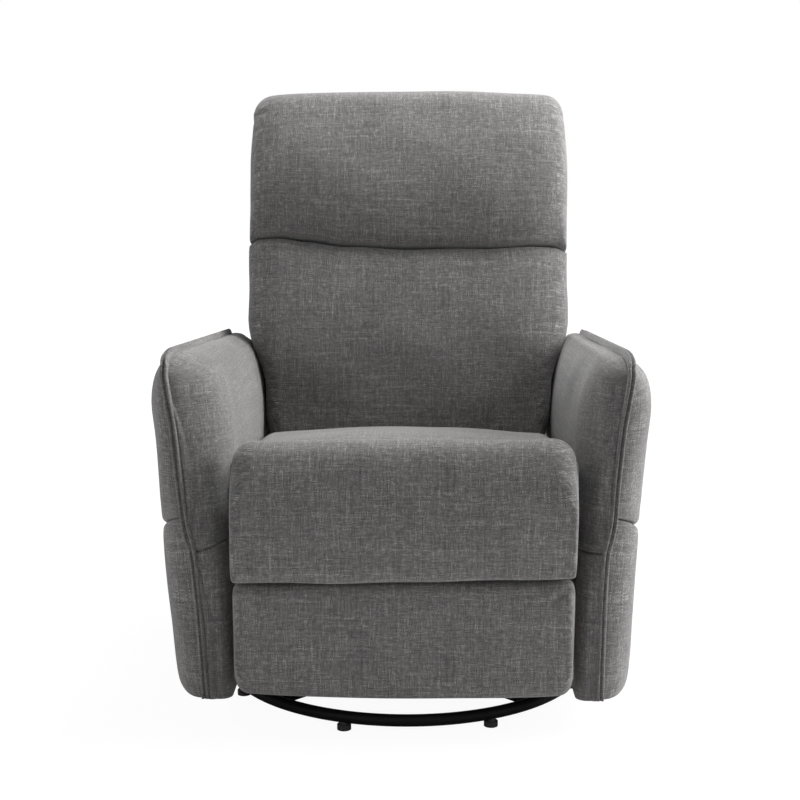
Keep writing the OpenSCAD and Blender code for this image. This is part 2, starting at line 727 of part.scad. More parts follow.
module seat_front_roll() {
  outline = round_loop(roll_outline, 2);
  halves = [for (p = outline) cushion_half + 1 - (p[1] < 275 ? 2 : 0)];
  color(fabric_colour) loft(cushion_rings(outline, halves, 22, 6, 14));
}

// Back

// The back's frame: local Z runs up the back, local Y points square to its rear
module back_place() {
  translate([0, back_pivot_y, back_pivot_z]) rotate([-back_lean, 0, 0]) children();
}

module back_brackets() {
  color(steel_colour) both_sides() back_place() difference() {
    translate([link_x, 0, 0]) rotate([90, 0, 90]) linear_extrude(sheet_t)
      polygon([[-12, -10], [-4, -14], [10, -14], [60, 4], [post_rear, 8], [post_rear, 170], [post_front, 170],
               [post_front, 34], [0, 14], [-12, 8]]);
    translate([link_x - 1, 0, 0]) rotate([0, 90, 0]) cylinder(r = pin_r + fit_gap, h = 5, $fn = 40);
  }
}

module back_posts() {
  color(wood_colour) both_sides() back_place()
    translate([post_in, post_front, 26]) cube([link_x - post_in, post_rear - post_front, back_top - 66]);
}

module back_cross_rails() {
  color(wood_colour) back_place() for (z = [26, tuck_at - 25, back_top - 100])
    translate([-post_in, post_front, z]) cube([2 * post_in, post_rear - post_front, 60]);
}

module back_springs() {
  low = 86.2;
  high = tuck_at - 25.2;
  color(zinc_colour) back_place() for (x = [-135, -45, 45, 135])
    zigzag([x, post_front + 8, low], [0, 0, 1], [1, 0, 0], [0, 1, 0], high - low, 7, 1.8);
}

// Half width of the back at a distance z along it: narrow between the arms, wide above them
back_widths = [[0, 250], [60, 250], [110, 263], [180, 264.5], [200, 265.5], [220, 266.5], [240, 268.5],
  [260, 275], [280, 289], [292, 296], [425, 298], [600, 298], [740, 291]];
function back_half(z) = lookup(z, back_widths);

lumbar_outline = [[84.5, 52], [79, 43.5], [30, 42], [-18, 44], [-36, 60], [-44, 110], [-52, 180],
  [-58, 260], [-60, 330], [-57, 378], [-50, 406], [-36, 420], [-14, 424], [34, 424], [79, 424], [84.5, 416],
  [85, 330], [85, 200], [85, 110]];

module lumbar_cushion() {
  outline = round_loop(lumbar_outline, 2);
  halves = [for (p = outline) back_half(p[1])];
  color(fabric_colour) back_place() loft(cushion_rings(outline, halves, 24, 4, 14));
}

head_outline = [[84.5, 438], [79, 430.5], [30, 429.5], [-20, 429], [-52, 429], [-69, 442], [-76, 478],
  [-75, 540], [-69, 605], [-58, 668], [-45, 708], [-22, 732], [20, back_top], [58, back_top - 0.5],
  [78, back_top - 5], [84.5, back_top - 16], [85, 640], [85, 530]];

module head_cushion() {
  outline = round_loop(head_outline, 2);
  halves = [for (p = outline) back_half(p[1])];
  color(fabric_colour) back_place() loft(cushion_rings(outline, halves, 22, 7, 14));
}

module back_rear_cover() {
  steps = [24, 60, 110, 200, 240, 260, 280, 292, 425, 600, back_top - 14];
  side = [for (z = steps) [back_half(z) - 4, z]];
  color(fabric_colour) back_place() translate([0, post_rear + 14, 0]) rotate([90, 0, 0]) linear_extrude(14)
    polygon(concat(side, [for (i = [len(side) - 1 : -1 : 0]) [-side[i][0], side[i][1]]]));
}

// Footrest

module drive_tube() {
  color(zinc_colour) boss(drive_p, 10, -plate_x - sheet_t - 1, 2 * (plate_x + sheet_t + 1));
}

// Outermost links: turned by the drive tube, and they carry the two middle links
module drive_links() {
  color(zinc_colour) both_sides() {
    difference() {
      union() {
        link_chain([drive_p, elbow_p, upper_e], 18, link_x);
        boss(drive_p, 13, link_x, sheet_t);
      }
      boss(drive_p, 10, link_x - 1, 5);
    }
    stud_in(elbow_p, link_x);
    stud_in(upper_e, link_x);
  }
}

// Second pair, beside the drive links, which keeps the middle links level
module guide_links() {
  color(zinc_colour) both_sides() {
    difference() {
      link_chain([guide_p, guide_e], 16, link_x);
      boss(guide_p, pin_r + fit_gap, link_x - 1, 5);
    }
    stud_in(guide_e, link_x);
  }
}

module middle_links() {
  color(zinc_colour) both_sides() {
    difference() {
      link_chain([guide_e, elbow_p, foot_p], 18, middle_x);
      boss(elbow_p, pin_r + fit_gap, middle_x - 1, 5);
      boss(guide_e, pin_r + open_gap, middle_x - 1, 5);
    }
    stud_in(foot_p, middle_x);
  }
}

module upper_links() {
  color(zinc_colour) both_sides() {
    difference() {
      link_chain([upper_e, upper_f], 18, middle_x);
      boss(upper_e, pin_r + fit_gap, middle_x - 1, 5);
    }
    stud_in(upper_f, middle_x);
  }
}

board_y = -290;

module footrest_brackets() {
  color(steel_colour) both_sides() difference() {
    union() {
      translate([bracket_x, 0, 0]) rotate([90, 0, 90]) linear_extrude(sheet_t)
        polygon([[-278, 150], [-278, 232], [-262, 232], [-254, 222], [-254, 186]]);
      boss(foot_p, 10, bracket_x, sheet_t);
      boss(upper_f, 10, bracket_x, sheet_t);
      translate([bracket_x - 24, -278, 150]) cube([24, sheet_t, 82]);
    }
    boss(foot_p, pin_r + fit_gap, bracket_x - 1, 5);
    boss(upper_f, pin_r + open_gap, bracket_x - 1, 5);
  }
}

module footrest_board() {
  color(wood_colour) translate([-250, board_y, 76]) cube([500, -278 - board_y, 160]);
}

pad_outline = [[-291, 75], [-291, 130], [-291, 190], [-291, 234], [-296, 241.5], [-306, 243.5],
  [-319, 239], [-327, 222], [-330, 180], [-331, 140], [-329, 100], [-322, 76], [-306, 67], [-296, 68.5]];

module footrest_pad() {
  outline = round_loop(pad_outline, 2);
  halves = [for (p = outline) cushion_half];
  color(fabric_colour) loft(cushion_rings(outline, halves, 16, 0, 12));
}

base_ring();
base_cross_bars();
base_hub_plate();
floor_glides();
swivel_lower_race();
swivel_balls();
swivel_pivot_bolt();
swivel_lock_nut();
swivel_upper_race();
rocker_yoke();
rocker_shaft();
rocker_springs();
rock_bumpers();
rocker_top_plate();
rocker_bushes();
mechanism_cross_rails();
mechanism_rail_left();
mechanism_rail_right();
arm_panel_left();
arm_panel_right();
arm_inner_pad_left();
arm_inner_pad_right();
arm_outer_pad_left();
arm_outer_pad_right();
arm_lower_pad_left();
arm_lower_pad_right();
arm_welt_left();
arm_welt_right();
rear_panel();
release_cup();
release_cable();
release_handle();
front_swing_links();
rear_swing_links();
seat_side_plate_left();
seat_side_plate_right();
seat_side_rails();
seat_front_rail();
seat_rear_rail();
seat_springs();
seat_cushion();
seat_front_roll();
back_brackets();
back_posts();
back_cross_rails();
back_springs();
lumbar_cushion();
head_cushion();
back_rear_cover();
drive_tube();
drive_links();
guide_links();
middle_links();
upper_links();
footrest_brackets();
footrest_board();
footrest_pad();
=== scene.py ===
"""Looks for a swivel rocker recliner: upholstery, stitching, finishes, floor, lamps and camera. The chair
faces -Y, the swivel axis is Z and the floor is at z = 0. Lengths are in metres."""

import json
import math
from functools import partial

import bpy
import numpy as np
from bpy.props import FloatProperty, FloatVectorProperty, PointerProperty
from mathutils import Euler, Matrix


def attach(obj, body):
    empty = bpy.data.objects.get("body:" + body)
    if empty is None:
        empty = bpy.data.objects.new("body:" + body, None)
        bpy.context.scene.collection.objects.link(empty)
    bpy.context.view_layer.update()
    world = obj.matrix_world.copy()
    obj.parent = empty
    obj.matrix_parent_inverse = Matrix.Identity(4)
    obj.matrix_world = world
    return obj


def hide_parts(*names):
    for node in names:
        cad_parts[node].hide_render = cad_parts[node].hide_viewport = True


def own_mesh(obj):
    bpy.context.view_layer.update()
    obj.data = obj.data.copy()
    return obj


bl_info = {
    "name": "Swivel rocker recliner",
    "version": (1, 0, 0),
    "blender": (4, 5, 0),
    "location": "View3D > Sidebar > Recliner",
    "description": "Upholstery, finishes and studio for the recliner frame",
    "category": "Object",
}

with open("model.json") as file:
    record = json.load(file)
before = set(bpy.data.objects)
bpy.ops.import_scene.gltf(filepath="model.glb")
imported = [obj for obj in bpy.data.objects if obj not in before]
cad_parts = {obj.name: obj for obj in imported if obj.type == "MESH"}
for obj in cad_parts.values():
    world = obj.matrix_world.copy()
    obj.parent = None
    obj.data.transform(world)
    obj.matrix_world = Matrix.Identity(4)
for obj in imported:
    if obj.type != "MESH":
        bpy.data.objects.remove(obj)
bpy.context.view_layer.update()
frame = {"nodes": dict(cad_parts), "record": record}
NODES = frame["nodes"]
MM = 0.001


# Sizes and colours


def length(name, description, default):
    """A length in the panel."""
    return FloatProperty(name=name, description=description, default=default, unit="LENGTH")


def tint(name, description, default):
    """A colour in the panel."""
    return FloatVectorProperty(name=name, description=description, default=default, subtype="COLOR")


class ReclinerSizes(bpy.types.PropertyGroup):
    """Sizes of the upholstery."""

    cushion_half: length("Cushion half width", "Half the seat's width", 0.262)
    arm_fall: length("Arm fall", "How far an arm's top falls to the rear", 0.026)
    back_lean: FloatProperty(
        name="Back lean", description="The back's lean at rest", default=math.radians(15), subtype="ANGLE"
    )
    weave_pitch: length("Weave pitch", "Distance between two threads", 0.0018)
    stitch_step: length("Stitch step", "Distance from one stitch to the next", 0.0062)


class ReclinerColours(bpy.types.PropertyGroup):
    """Colours of cloth, thread and metal."""

    cloth: tint("Cloth", "Mean colour of the linen", (0.166, 0.161, 0.160))
    slub: tint("Slub", "Pale threads in the cloth", (0.40, 0.39, 0.375))
    # Dark threads; the weave's painted shade at each thread's edges also darkens the cloth toward this
    # colour
    shade: tint("Shade", "Dark threads in the cloth", (0.075, 0.071, 0.073))
    paint: tint("Paint", "Black paint of the base", (0.007, 0.007, 0.0075))


# Curves


def metres(values):
    """Numbers in millimetres as an array in metres."""
    return np.asarray(values, float) * MM


def cubic(a, b, c, d, steps):
    """Points from b to c on cubics whose slope at a point is half the step between its neighbours."""
    t = np.arange(steps)[None, :, None] / steps
    q = 0.5 * (2 * b + (c - a) * t + (2 * a - 5 * b + 4 * c - d) * t**2 + (3 * b - a - 3 * c + d) * t**3)
    return q.reshape(-1, q.shape[2])


def spline_loop(points, steps):
    """Closed smooth curve through the points, a cubic for each side."""
    p = np.asarray(points, float)
    return cubic(*(np.roll(p, s, 0)[:, None, :] for s in (1, 0, -1, -2)), steps)


def spline_path(points, steps):
    """Open smooth curve through the points, with a point more in line beyond each end."""
    p = np.asarray(points, float)
    p = np.vstack([2 * p[0] - p[1], p, 2 * p[-1] - p[-2]])
    return np.vstack([cubic(*(p[k : len(p) - 3 + k, None, :] for k in range(4)), steps), p[-2]])


def lengths(path):
    """Distance along a path at each of its points."""
    return np.r_[0, np.cumsum(np.linalg.norm(np.diff(path, axis=0), axis=1))]


def at_lengths(path, s, values=None):
    """Points of a path, or values known at them, at the distances s along it."""
    run = lengths(path)
    values = path if values is None else values
    return np.stack([np.interp(s, run, column) for column in values.T], 1)


def closed(loop):
    """The loop with its first point again at the end."""
    return np.vstack([loop, loop[:1]])


def even_loop(loop, count):
    """The closed loop with count points an equal distance apart."""
    loop = closed(loop)
    return at_lengths(loop, np.linspace(0, lengths(loop)[-1], count, endpoint=False))


def unit(vectors):
    """The vectors at length 1."""
    return vectors / np.linalg.norm(vectors, axis=1)[:, None]


def smooth(t):
    """0 below 0, 1 above 1, and a smooth rise between."""
    t = np.clip(t, 0, 1)
    return t * t * (3 - 2 * t)


# Skins

# Shares of the way from a cap's ring to its spine where its round edge and its last row stop at most
EDGE_REACH, CAP_REACH = 0.96, 0.985


def swell(height):
    """Rise of a cap between its edge and its spine: a parabola that is highest at the spine."""
    return lambda share: height * (1 - (1 - share) ** 2)


def cap_rows(ring, spine, out, edge, rise, rows, reverse):
    """Rows from a ring in to its spine. Within edge of the ring the surface rises as a quarter round, and
    from there to the spine by rise(share) more. The edge may differ from point to point; 0 is none."""
    reach = np.maximum(np.linalg.norm(spine - ring, axis=1), 1e-6)
    edge = np.broadcast_to(np.asarray(edge, float), reach.shape)
    turn = np.linspace(0, np.pi / 2, 9)[1:] if edge.max() > 0 else np.zeros(0)
    near = np.minimum(edge * (1 - np.cos(turn))[:, None] / reach, EDGE_REACH)
    rise_near = edge * np.sin(turn)[:, None]
    share = (np.arange(1, rows + 1) / rows)[:, None]
    start = near[-1] if len(near) else np.zeros_like(reach)
    far = start + (CAP_REACH - start) * share
    rise_far = edge + rise(share)
    t = np.vstack([near, far])[:, :, None]
    lift = np.vstack([rise_near, rise_far])[:, :, None]
    grid = ring[None] + (spine - ring)[None] * t + np.asarray(out, float) * lift
    return grid[::-1] if reverse else grid


def faces_round(index):
    """Quads between the rows of an index grid whose rows close on themselves."""
    right = np.roll(index, -1, 1)
    return np.stack([index[:-1], index[1:], right[1:], right[:-1]], -1)


def body_uv(u, around):
    """Cloth coordinates of a grid's quads, from u at its points and around at the edges of its columns."""
    right = np.roll(u, -1, 1)
    uv = np.empty((len(u) - 1, u.shape[1], 4, 2))
    uv[..., 0] = np.stack([u[:-1], u[1:], right[1:], right[:-1]], -1)
    uv[..., 1] = np.stack([around[:-1], around[:-1], around[1:], around[1:]], -1)
    return uv


def skin(name, rings, first, last, around_from=0.0):
    """A closed cloth surface: body rings with a cap of rows at each end, zipped along the spine. first and
    last are (spine, out, edge, rise, rows, across, up); across and up are the directions of the weave on
    the cap. On the body the weave is measured along each column of points from its middle, and around the
    middle ring."""
    caps = []
    for k, (spine, out, edge, rise, rows, *_) in enumerate((first, last)):
        caps.append(cap_rows(rings[-k], spine, out, edge, rise, rows, reverse=k == 0))
    grid = np.concatenate([caps[0], rings, caps[1]])
    m, n = grid.shape[:2]
    index = np.arange(m * n).reshape(m, n)
    quads = faces_round(index)

    middle = len(rings) // 2
    u = np.vstack([np.zeros(n), np.cumsum(np.linalg.norm(np.diff(rings, axis=0), axis=2), axis=0)])
    uv = np.zeros((m - 1, n, 4, 2))
    a = len(caps[0])
    b = a + len(rings) - 1
    uv[a:b] = body_uv(u - u[middle], around_from + lengths(closed(rings[middle])))
    flat = grid.reshape(-1, 3)

    half = n // 2
    j = np.arange(1, half - 1)
    zips, zip_uv, tris, tri_uv = [], [], [], []
    for ids, rows, cap, step in ((index[0], slice(0, a), first, 1), (index[-1], slice(b, m - 1), last, -1)):
        weave = np.stack(cap[5:], 1).astype(float)
        uv[rows] = flat[quads[rows]] @ weave
        zips.append(np.stack([ids[j], ids[j + 1], ids[n - j - 1], ids[n - j]], -1)[:, ::step])
        tris.append(np.array([ids[[0, 1, n - 1]], ids[[half - 1, half, half + 1]]])[:, ::step])
        zip_uv.append(flat[zips[-1]] @ weave)
        tri_uv.append(flat[tris[-1]] @ weave)
    quads = np.concatenate([quads.reshape(-1, 4)] + zips)
    quad_uv = np.concatenate([uv.reshape(-1, 4, 2)] + zip_uv)
    tris, tri_uv = np.concatenate(tris), np.concatenate(tri_uv)
    return mesh_object(name, flat, quads, tris, quad_uv, tri_uv)


def new_object(name, data):
    """An object with that data, in the scene."""
    made = bpy.data.objects.new(name, data)
    bpy.context.scene.collection.objects.link(made)
    return made


def mesh_object(name, points, quads, tris, quad_uv, tri_uv):
    """A smooth mesh from arrays, with all its faces turned over if the volume they close is negative."""
    quads, tris = np.asarray(quads, np.int64).reshape(-1, 4), np.asarray(tris, np.int64).reshape(-1, 3)
    split = np.vstack([quads[:, [0, 1, 2]], quads[:, [0, 2, 3]], tris])
    a, b, c = (points[split[:, k]] for k in range(3))
    if np.einsum("ij,ij->i", a, np.cross(b, c)).sum() < 0:
        quads, tris = quads[:, ::-1], tris[:, ::-1]
        quad_uv, tri_uv = quad_uv[:, ::-1], tri_uv[:, ::-1]
    mesh = bpy.data.meshes.new(name)
    mesh.vertices.add(len(points))
    mesh.vertices.foreach_set("co", np.ascontiguousarray(points, np.float32).ravel())
    loops = np.concatenate([quads.ravel(), tris.ravel()]).astype(np.int32)
    mesh.loops.add(len(loops))
    mesh.loops.foreach_set("vertex_index", loops)
    mesh.polygons.add(len(quads) + len(tris))
    start = np.concatenate([np.arange(len(quads)) * 4, len(quads) * 4 + np.arange(len(tris)) * 3])
    mesh.polygons.foreach_set("loop_start", start.astype(np.int32))
    mesh.update(calc_edges=True)
    layer = mesh.uv_layers.new(name="weave")
    flat_uv = np.concatenate([quad_uv.reshape(-1, 2), tri_uv.reshape(-1, 2)])
    layer.data.foreach_set("uv", flat_uv.astype(np.float32).ravel())
    mesh.polygons.foreach_set("use_smooth", np.ones(len(mesh.polygons), bool))
    mesh.validate()
    return new_object(name, mesh)


def points_of(piece):
    """The mesh's points and its normals there."""
    n = len(piece.data.vertices)
    co, no = np.zeros(n * 3, np.float32), np.zeros(n * 3, np.float32)
    piece.data.vertices.foreach_get("co", co)
    piece.data.vertices.foreach_get("normal", no)
    return co.reshape(-1, 3).astype(float), no.reshape(-1, 3).astype(float)


def set_points(piece, points):
    piece.data.vertices.foreach_set("co", np.ascontiguousarray(points, np.float32).ravel())
    piece.data.update()


def move(piece, way):
    """Puts each point of the piece where way(points) says."""
    set_points(piece, way(points_of(piece)[0]))


def press(piece, depth):
    """Moves each point inward along its normal by depth(points)."""
    co, no = points_of(piece)
    set_points(piece, co - no * depth(co)[:, None])


def creases(co, lines, half=0.0, sides=(1,), soft=0.5):
    """Depth of several pressed lines together, on each of the sides. A line is its two ends, its width and
    its depth, in millimetres. It is a bell across and fades over the share soft of its length at each end.
    With a half width, the ends are measured inward from it."""
    total = np.zeros(len(co))
    for sign in sides:
        for *ends, width, depth in lines:
            a, b = (np.array(ends) * MM + [half, 0, 0]) * [sign, 1, 1]
            run = b - a
            t = ((co - a) @ run) / (run @ run)
            gap = np.linalg.norm(co - a - np.clip(t, 0, 1)[:, None] * run, axis=1)
            fade = smooth(t / soft) * smooth((1 - t) / soft)
            total += depth * MM * np.exp(-((gap / (width * MM)) ** 2)) * fade
    return total


def unrest(co, size, depth, seed):
    """Gentle unevenness of stuffing: a sum of eight waves of about the given size in seeded directions."""
    rng = np.random.default_rng(seed)
    total = np.zeros(len(co))
    for _ in range(8):
        way = rng.normal(size=3)
        way *= rng.uniform(0.7, 1.5) / size / np.linalg.norm(way)
        total += np.sin(2 * np.pi * (co @ way) + rng.uniform(0, 2 * np.pi))
    return depth * total / 4


# Materials


def new_material(name):
    mat = bpy.data.materials.new(name)
    mat.use_nodes = True
    tree = mat.node_tree
    tree.nodes.clear()
    out = tree.nodes.new("ShaderNodeOutputMaterial")
    bsdf = tree.nodes.new("ShaderNodeBsdfPrincipled")
    tree.links.new(bsdf.outputs["BSDF"], out.inputs["Surface"])
    return mat, tree, bsdf


def node(tree, kind, inputs=None, **settings):
    """A shader node of that kind; inputs are plain values, or the sockets linked to it."""
    made = tree.nodes.new("ShaderNode" + kind)
    for key, value in settings.items():
        setattr(made, key, value)
    for key, value in (inputs or {}).items():
        socket = made.inputs[key]
        if isinstance(value, bpy.types.NodeSocket):
            tree.links.new(value, socket)
        else:
            socket.default_value = value
    return made


def calc(tree, operation, *values, clamp=False):
    """Output of a Math node."""
    return node(tree, "Math", dict(enumerate(values)), operation=operation, use_clamp=clamp).outputs[0]


def blended(tree, share, first, second):
    """A colour between two others, by a share from 0 to 1."""
    return node(tree, "Mix", {0: share, 6: first, 7: second}, data_type="RGBA").outputs[2]


def rough_skin(tree, bsdf, height, strength, distance):
    """Bump from a height, on the shader's normal."""
    bump = node(tree, "Bump", {"Height": height, "Strength": strength, "Distance": distance})
    tree.links.new(bump.outputs["Normal"], bsdf.inputs["Normal"])


def group(name, inputs, outputs):
    """A shader node group with its named sockets, and its input and output nodes."""
    tree = bpy.data.node_groups.new(name, "ShaderNodeTree")
    for title, kind, default in inputs:
        socket = tree.interface.new_socket(title, in_out="INPUT", socket_type=kind)
        if default is not None:
            socket.default_value = default
    for title, kind in outputs:
        tree.interface.new_socket(title, in_out="OUTPUT", socket_type=kind)
    return tree, tree.nodes.new("NodeGroupInput"), tree.nodes.new("NodeGroupOutput")


def linen_group():
    """Plain weave on a UV in metres. Each warp and each weft thread has its own brightness, which wanders
    along it and now and then swells to a pale slub or thins to a dark one. The two cross over and under by
    turns. Painted light and shade of each thread's round is added to the colour: a little lighter on its
    crown and darker toward its edges. It gives the colour, the height and the roughness."""
    tree, inp, out = group(
        "Linen weave",
        [
            ("Vector", "NodeSocketVector", None),
            ("Pitch", "NodeSocketFloat", 0.0015),
            ("Contrast", "NodeSocketFloat", 1.0),
            ("Cloth", "NodeSocketColor", None),
            ("Slub", "NodeSocketColor", None),
            ("Shade", "NodeSocketColor", None),
        ],
        [("Colour", "NodeSocketColor"), ("Height", "NodeSocketFloat"), ("Roughness", "NodeSocketFloat")],
    )
    given = inp.outputs
    do = partial(calc, tree)

    def noise(place, scale, detail, output="Fac"):
        return node(tree, "TexNoise", {"Vector": place, "Scale": scale, "Detail": detail}).outputs[output]

    def spread(value, low, high):
        """The value from low to high, carried to 0 to 1."""
        made = node(tree, "MapRange", {"Value": value, "From Min": low, "From Max": high}, clamp=True)
        return made.outputs["Result"]

    def around(value, middle, share):
        """The value less its middle, times its share in the brightness."""
        return do("MULTIPLY", do("SUBTRACT", value, middle), share)

    # Threads that wander up to a few millimetres off the straight
    wander = noise(given["Vector"], 14.0, 2.0, "Color")
    shift = node(tree, "VectorMath", {0: wander, 1: (0.5, 0.5, 0.5)}, operation="SUBTRACT").outputs[0]
    shift = node(tree, "VectorMath", {0: shift, "Scale": 0.006}, operation="SCALE").outputs[0]
    place = node(tree, "VectorMath", {0: given["Vector"], 1: shift}, operation="ADD").outputs[0]
    parts = node(tree, "SeparateXYZ", {"Vector": place}).outputs
    cell = [do("DIVIDE", parts[k], given["Pitch"]) for k in (0, 1)]
    number = [do("FLOOR", c) for c in cell]
    across = [do("SUBTRACT", do("FRACT", c), 0.5) for c in cell]
    bulge = [do("SUBTRACT", 1.0, do("MULTIPLY", do("MULTIPLY", a, a), 3.2)) for a in across]

    def thread(run, count, seed):
        """Level of one set of threads, a slow wander along each plus a quick one, and its slubs."""

        def along(stretch, apart, detail, offset):
            key = {0: do("MULTIPLY", run, stretch), 1: do("MULTIPLY", count, apart), 2: seed + offset}
            return noise(node(tree, "CombineXYZ", key).outputs[0], 1.0, detail)

        slow, quick = along(11.0, 1.1, 1.5, 0.0), along(85.0, 7.31, 1.0, 31.7)
        level = do("ADD", around(slow, 0.5, 1.25), around(quick, 0.5, 2.0))
        pale, dark = spread(slow, 0.64, 0.80), spread(slow, 0.36, 0.22)
        return level, do("MULTIPLY", pale, 0.2), do("MULTIPLY", dark, 0.2)

    warp = thread(parts[1], number[0], 3.5)
    weft = thread(parts[0], number[1], 57.5)
    turns = [do("SINE", do("MULTIPLY", c, math.pi)) for c in cell]
    over = spread(do("MULTIPLY", *turns), -0.35, 0.35)

    def on_top(a, b):
        """The warp's value where the warp is on top, and the weft's elsewhere."""
        return do("ADD", do("MULTIPLY", a, over), do("MULTIPLY", b, do("SUBTRACT", 1.0, over)))

    level, pale, dark = (on_top(a, b) for a, b in zip(warp, weft))
    # Round of the threads on top: the bump's height, and also painted light and shade in the colour below
    hill_and_shade = on_top(*bulge)
    mottle, nub = noise(given["Vector"], 7.0, 2.0), noise(place, 340.0, 1.0)
    level = do("ADD", do("MULTIPLY", level, 1.3), around(mottle, 0.5, 0.22))
    # Painted light and shade of each thread's round: the colour is a little lighter on its crown and darker
    # toward its edges and the gaps between threads
    level = do("ADD", level, around(hill_and_shade, 0.8, 0.5))
    level = do("ADD", level, around(nub, 0.5, 0.9))
    level = do("MULTIPLY", level, given["Contrast"])
    to_pale = do("ADD", do("MULTIPLY", pale, given["Contrast"]), do("MAXIMUM", level, 0.0), clamp=True)
    to_dark = do("SUBTRACT", do("MULTIPLY", dark, given["Contrast"]), do("MINIMUM", level, 0.0), clamp=True)
    paler = blended(tree, to_pale, given["Cloth"], given["Slub"])
    height = do("ADD", hill_and_shade, do("MULTIPLY", pale, 0.7))
    tree.links.new(blended(tree, to_dark, paler, given["Shade"]), out.inputs["Colour"])
    tree.links.new(do("SUBTRACT", height, do("MULTIPLY", dark, 0.4)), out.inputs["Height"])
    tree.links.new(do("SUBTRACT", 0.94, do("MULTIPLY", pale, 0.12)), out.inputs["Roughness"])
    return tree


def speckle_group():
    """Speckle and handling marks on Object coordinates in metres: a fine mask and a broad mask."""
    tree, inp, out = group(
        "Surface speckle",
        [("Fine scale", "NodeSocketFloat", 900.0), ("Broad scale", "NodeSocketFloat", 30.0)],
        [("Fine", "NodeSocketFloat"), ("Broad", "NodeSocketFloat")],
    )
    place = node(tree, "TexCoord").outputs["Object"]
    for title in ("Fine", "Broad"):
        scale = inp.outputs[title + " scale"]
        made = node(tree, "TexNoise", {"Vector": place, "Scale": scale, "Detail": 3.0, "Roughness": 0.55})
        tree.links.new(made.outputs["Fac"], out.inputs[title])
    return tree


def linen(colours, pitch, weave):
    """The upholstery cloth, woven on each piece's own UV map, with a little sheen."""
    mat, tree, bsdf = new_material("grey linen")
    inputs = {"Vector": node(tree, "UVMap", uv_map="weave").outputs["UV"], "Pitch": pitch, "Contrast": 1.0}
    for title, colour in (("Cloth", colours.cloth), ("Slub", colours.slub), ("Shade", colours.shade)):
        inputs[title] = (*colour, 1)
    cloth = node(tree, "Group", inputs, node_tree=weave).outputs
    tree.links.new(cloth["Colour"], bsdf.inputs["Base Color"])
    tree.links.new(cloth["Roughness"], bsdf.inputs["Roughness"])
    rough_skin(tree, bsdf, cloth["Height"], 0.5, 0.0005)
    bsdf.inputs["Sheen Weight"].default_value = 0.35
    bsdf.inputs["Sheen Roughness"].default_value = 0.45
    bsdf.inputs["Specular IOR Level"].default_value = 0.25
    return mat


def speckled(speckle, name, colour, other, fine, broad, rough, spread, metallic, bump, specular=0.5):
    """A finish whose colour and roughness vary with the speckle group's fine and broad masks."""
    mat, tree, bsdf = new_material(name)
    marks = node(tree, "Group", {"Fine scale": fine, "Broad scale": broad}, node_tree=speckle).outputs
    colour = blended(tree, marks["Broad"], (*colour, 1), (*other, 1))
    tree.links.new(colour, bsdf.inputs["Base Color"])
    ends = {"To Min": rough - spread, "To Max": rough + spread}
    level = node(tree, "MapRange", {"Value": marks["Fine"], **ends})
    tree.links.new(level.outputs["Result"], bsdf.inputs["Roughness"])
    rough_skin(tree, bsdf, marks["Fine"], bump, 0.0004)
    bsdf.inputs["Metallic"].default_value = metallic
    bsdf.inputs["Specular IOR Level"].default_value = specular
    return mat


def plywood():
    """Wood with long grain from stretched noise."""
    mat, tree, bsdf = new_material("plywood")
    place = node(tree, "TexCoord").outputs["Object"]
    stretched = node(tree, "Mapping", {"Vector": place, "Scale": (60.0, 5.0, 40.0)}).outputs[0]
    grain = node(tree, "TexNoise", {"Vector": stretched, "Scale": 2.0, "Detail": 5.0}).outputs["Fac"]
    ramp = node(tree, "ValToRGB", {"Fac": grain})
    dark, pale = ramp.color_ramp.elements
    dark.position, dark.color = 0.32, (0.33, 0.20, 0.10, 1)
    pale.position, pale.color = 0.72, (0.62, 0.45, 0.27, 1)
    tree.links.new(ramp.outputs["Color"], bsdf.inputs["Base Color"])
    rough_skin(tree, bsdf, grain, 0.3, 0.0005)
    bsdf.inputs["Roughness"].default_value = 0.62
    return mat


FINISHES = {}

# Speckled finishes by slot: name, two colours, fine and broad scale, roughness and its spread, metallic and
# bump
SPECKLED = {
    "dark_steel": (
        "oiled steel", (0.13, 0.135, 0.145), (0.19, 0.19, 0.195), 700.0, 18.0, 0.42, 0.1, 0.9, 0.12
    ),
    "zinc_steel": (
        "zinc plate", (0.52, 0.53, 0.54), (0.63, 0.63, 0.62), 500.0, 22.0, 0.34, 0.1, 0.95, 0.08
    ),
    "black_rubber": ("black rubber", (0.018,) * 3, (0.03,) * 3, 800.0, 40.0, 0.78, 0.08, 0.0, 0.25),
    "nylon": ("white nylon", (0.72, 0.71, 0.67), (0.80, 0.79, 0.75), 500.0, 30.0, 0.5, 0.06, 0.0, 0.08),
    "black_plastic": (
        "black plastic", (0.022, 0.022, 0.024), (0.03, 0.03, 0.032), 1600.0, 30.0, 0.45, 0.06, 0.0, 0.22
    ),
    "thread": ("sewing thread", (0.13, 0.125, 0.125), (0.2, 0.19, 0.19), 2500.0, 60.0, 0.7, 0.1, 0.0, 0.3),
}
# The same of the black paint, whose colours come from the panel, and its specular level
PAINT_FINISH = (1400.0, 25.0, 0.46, 0.07, 0.0, 0.10, 0.06)


def make_finishes(colours, sizes):
    """All the materials, by the name of their slot."""
    FINISHES["grey_linen"] = linen(colours, sizes.weave_pitch, linen_group())
    speckle = speckle_group()
    paint = np.array(colours.paint)
    FINISHES["black_metal"] = speckled(speckle, "black paint", paint, paint * 1.8, *PAINT_FINISH)
    for slot, values in SPECKLED.items():
        FINISHES[slot] = speckled(speckle, *values)
    FINISHES["wood"] = plywood()


def finish_cloth(piece, body, *nodes, fill=0.7, pad=True):
    """Cloth finish, body and replaced nodes of an upholstered piece."""
    piece.data.materials.append(FINISHES["grey_linen"])
    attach(piece, body)
    if nodes:
        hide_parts(*nodes)
    return piece


# Cushions across the chair


def stations(count):
    """Places from -1 to 1, closer together near the ends."""
    t = np.linspace(-1, 1, count)
    return 0.4 * t + 0.6 * np.sin(t * np.pi / 2)


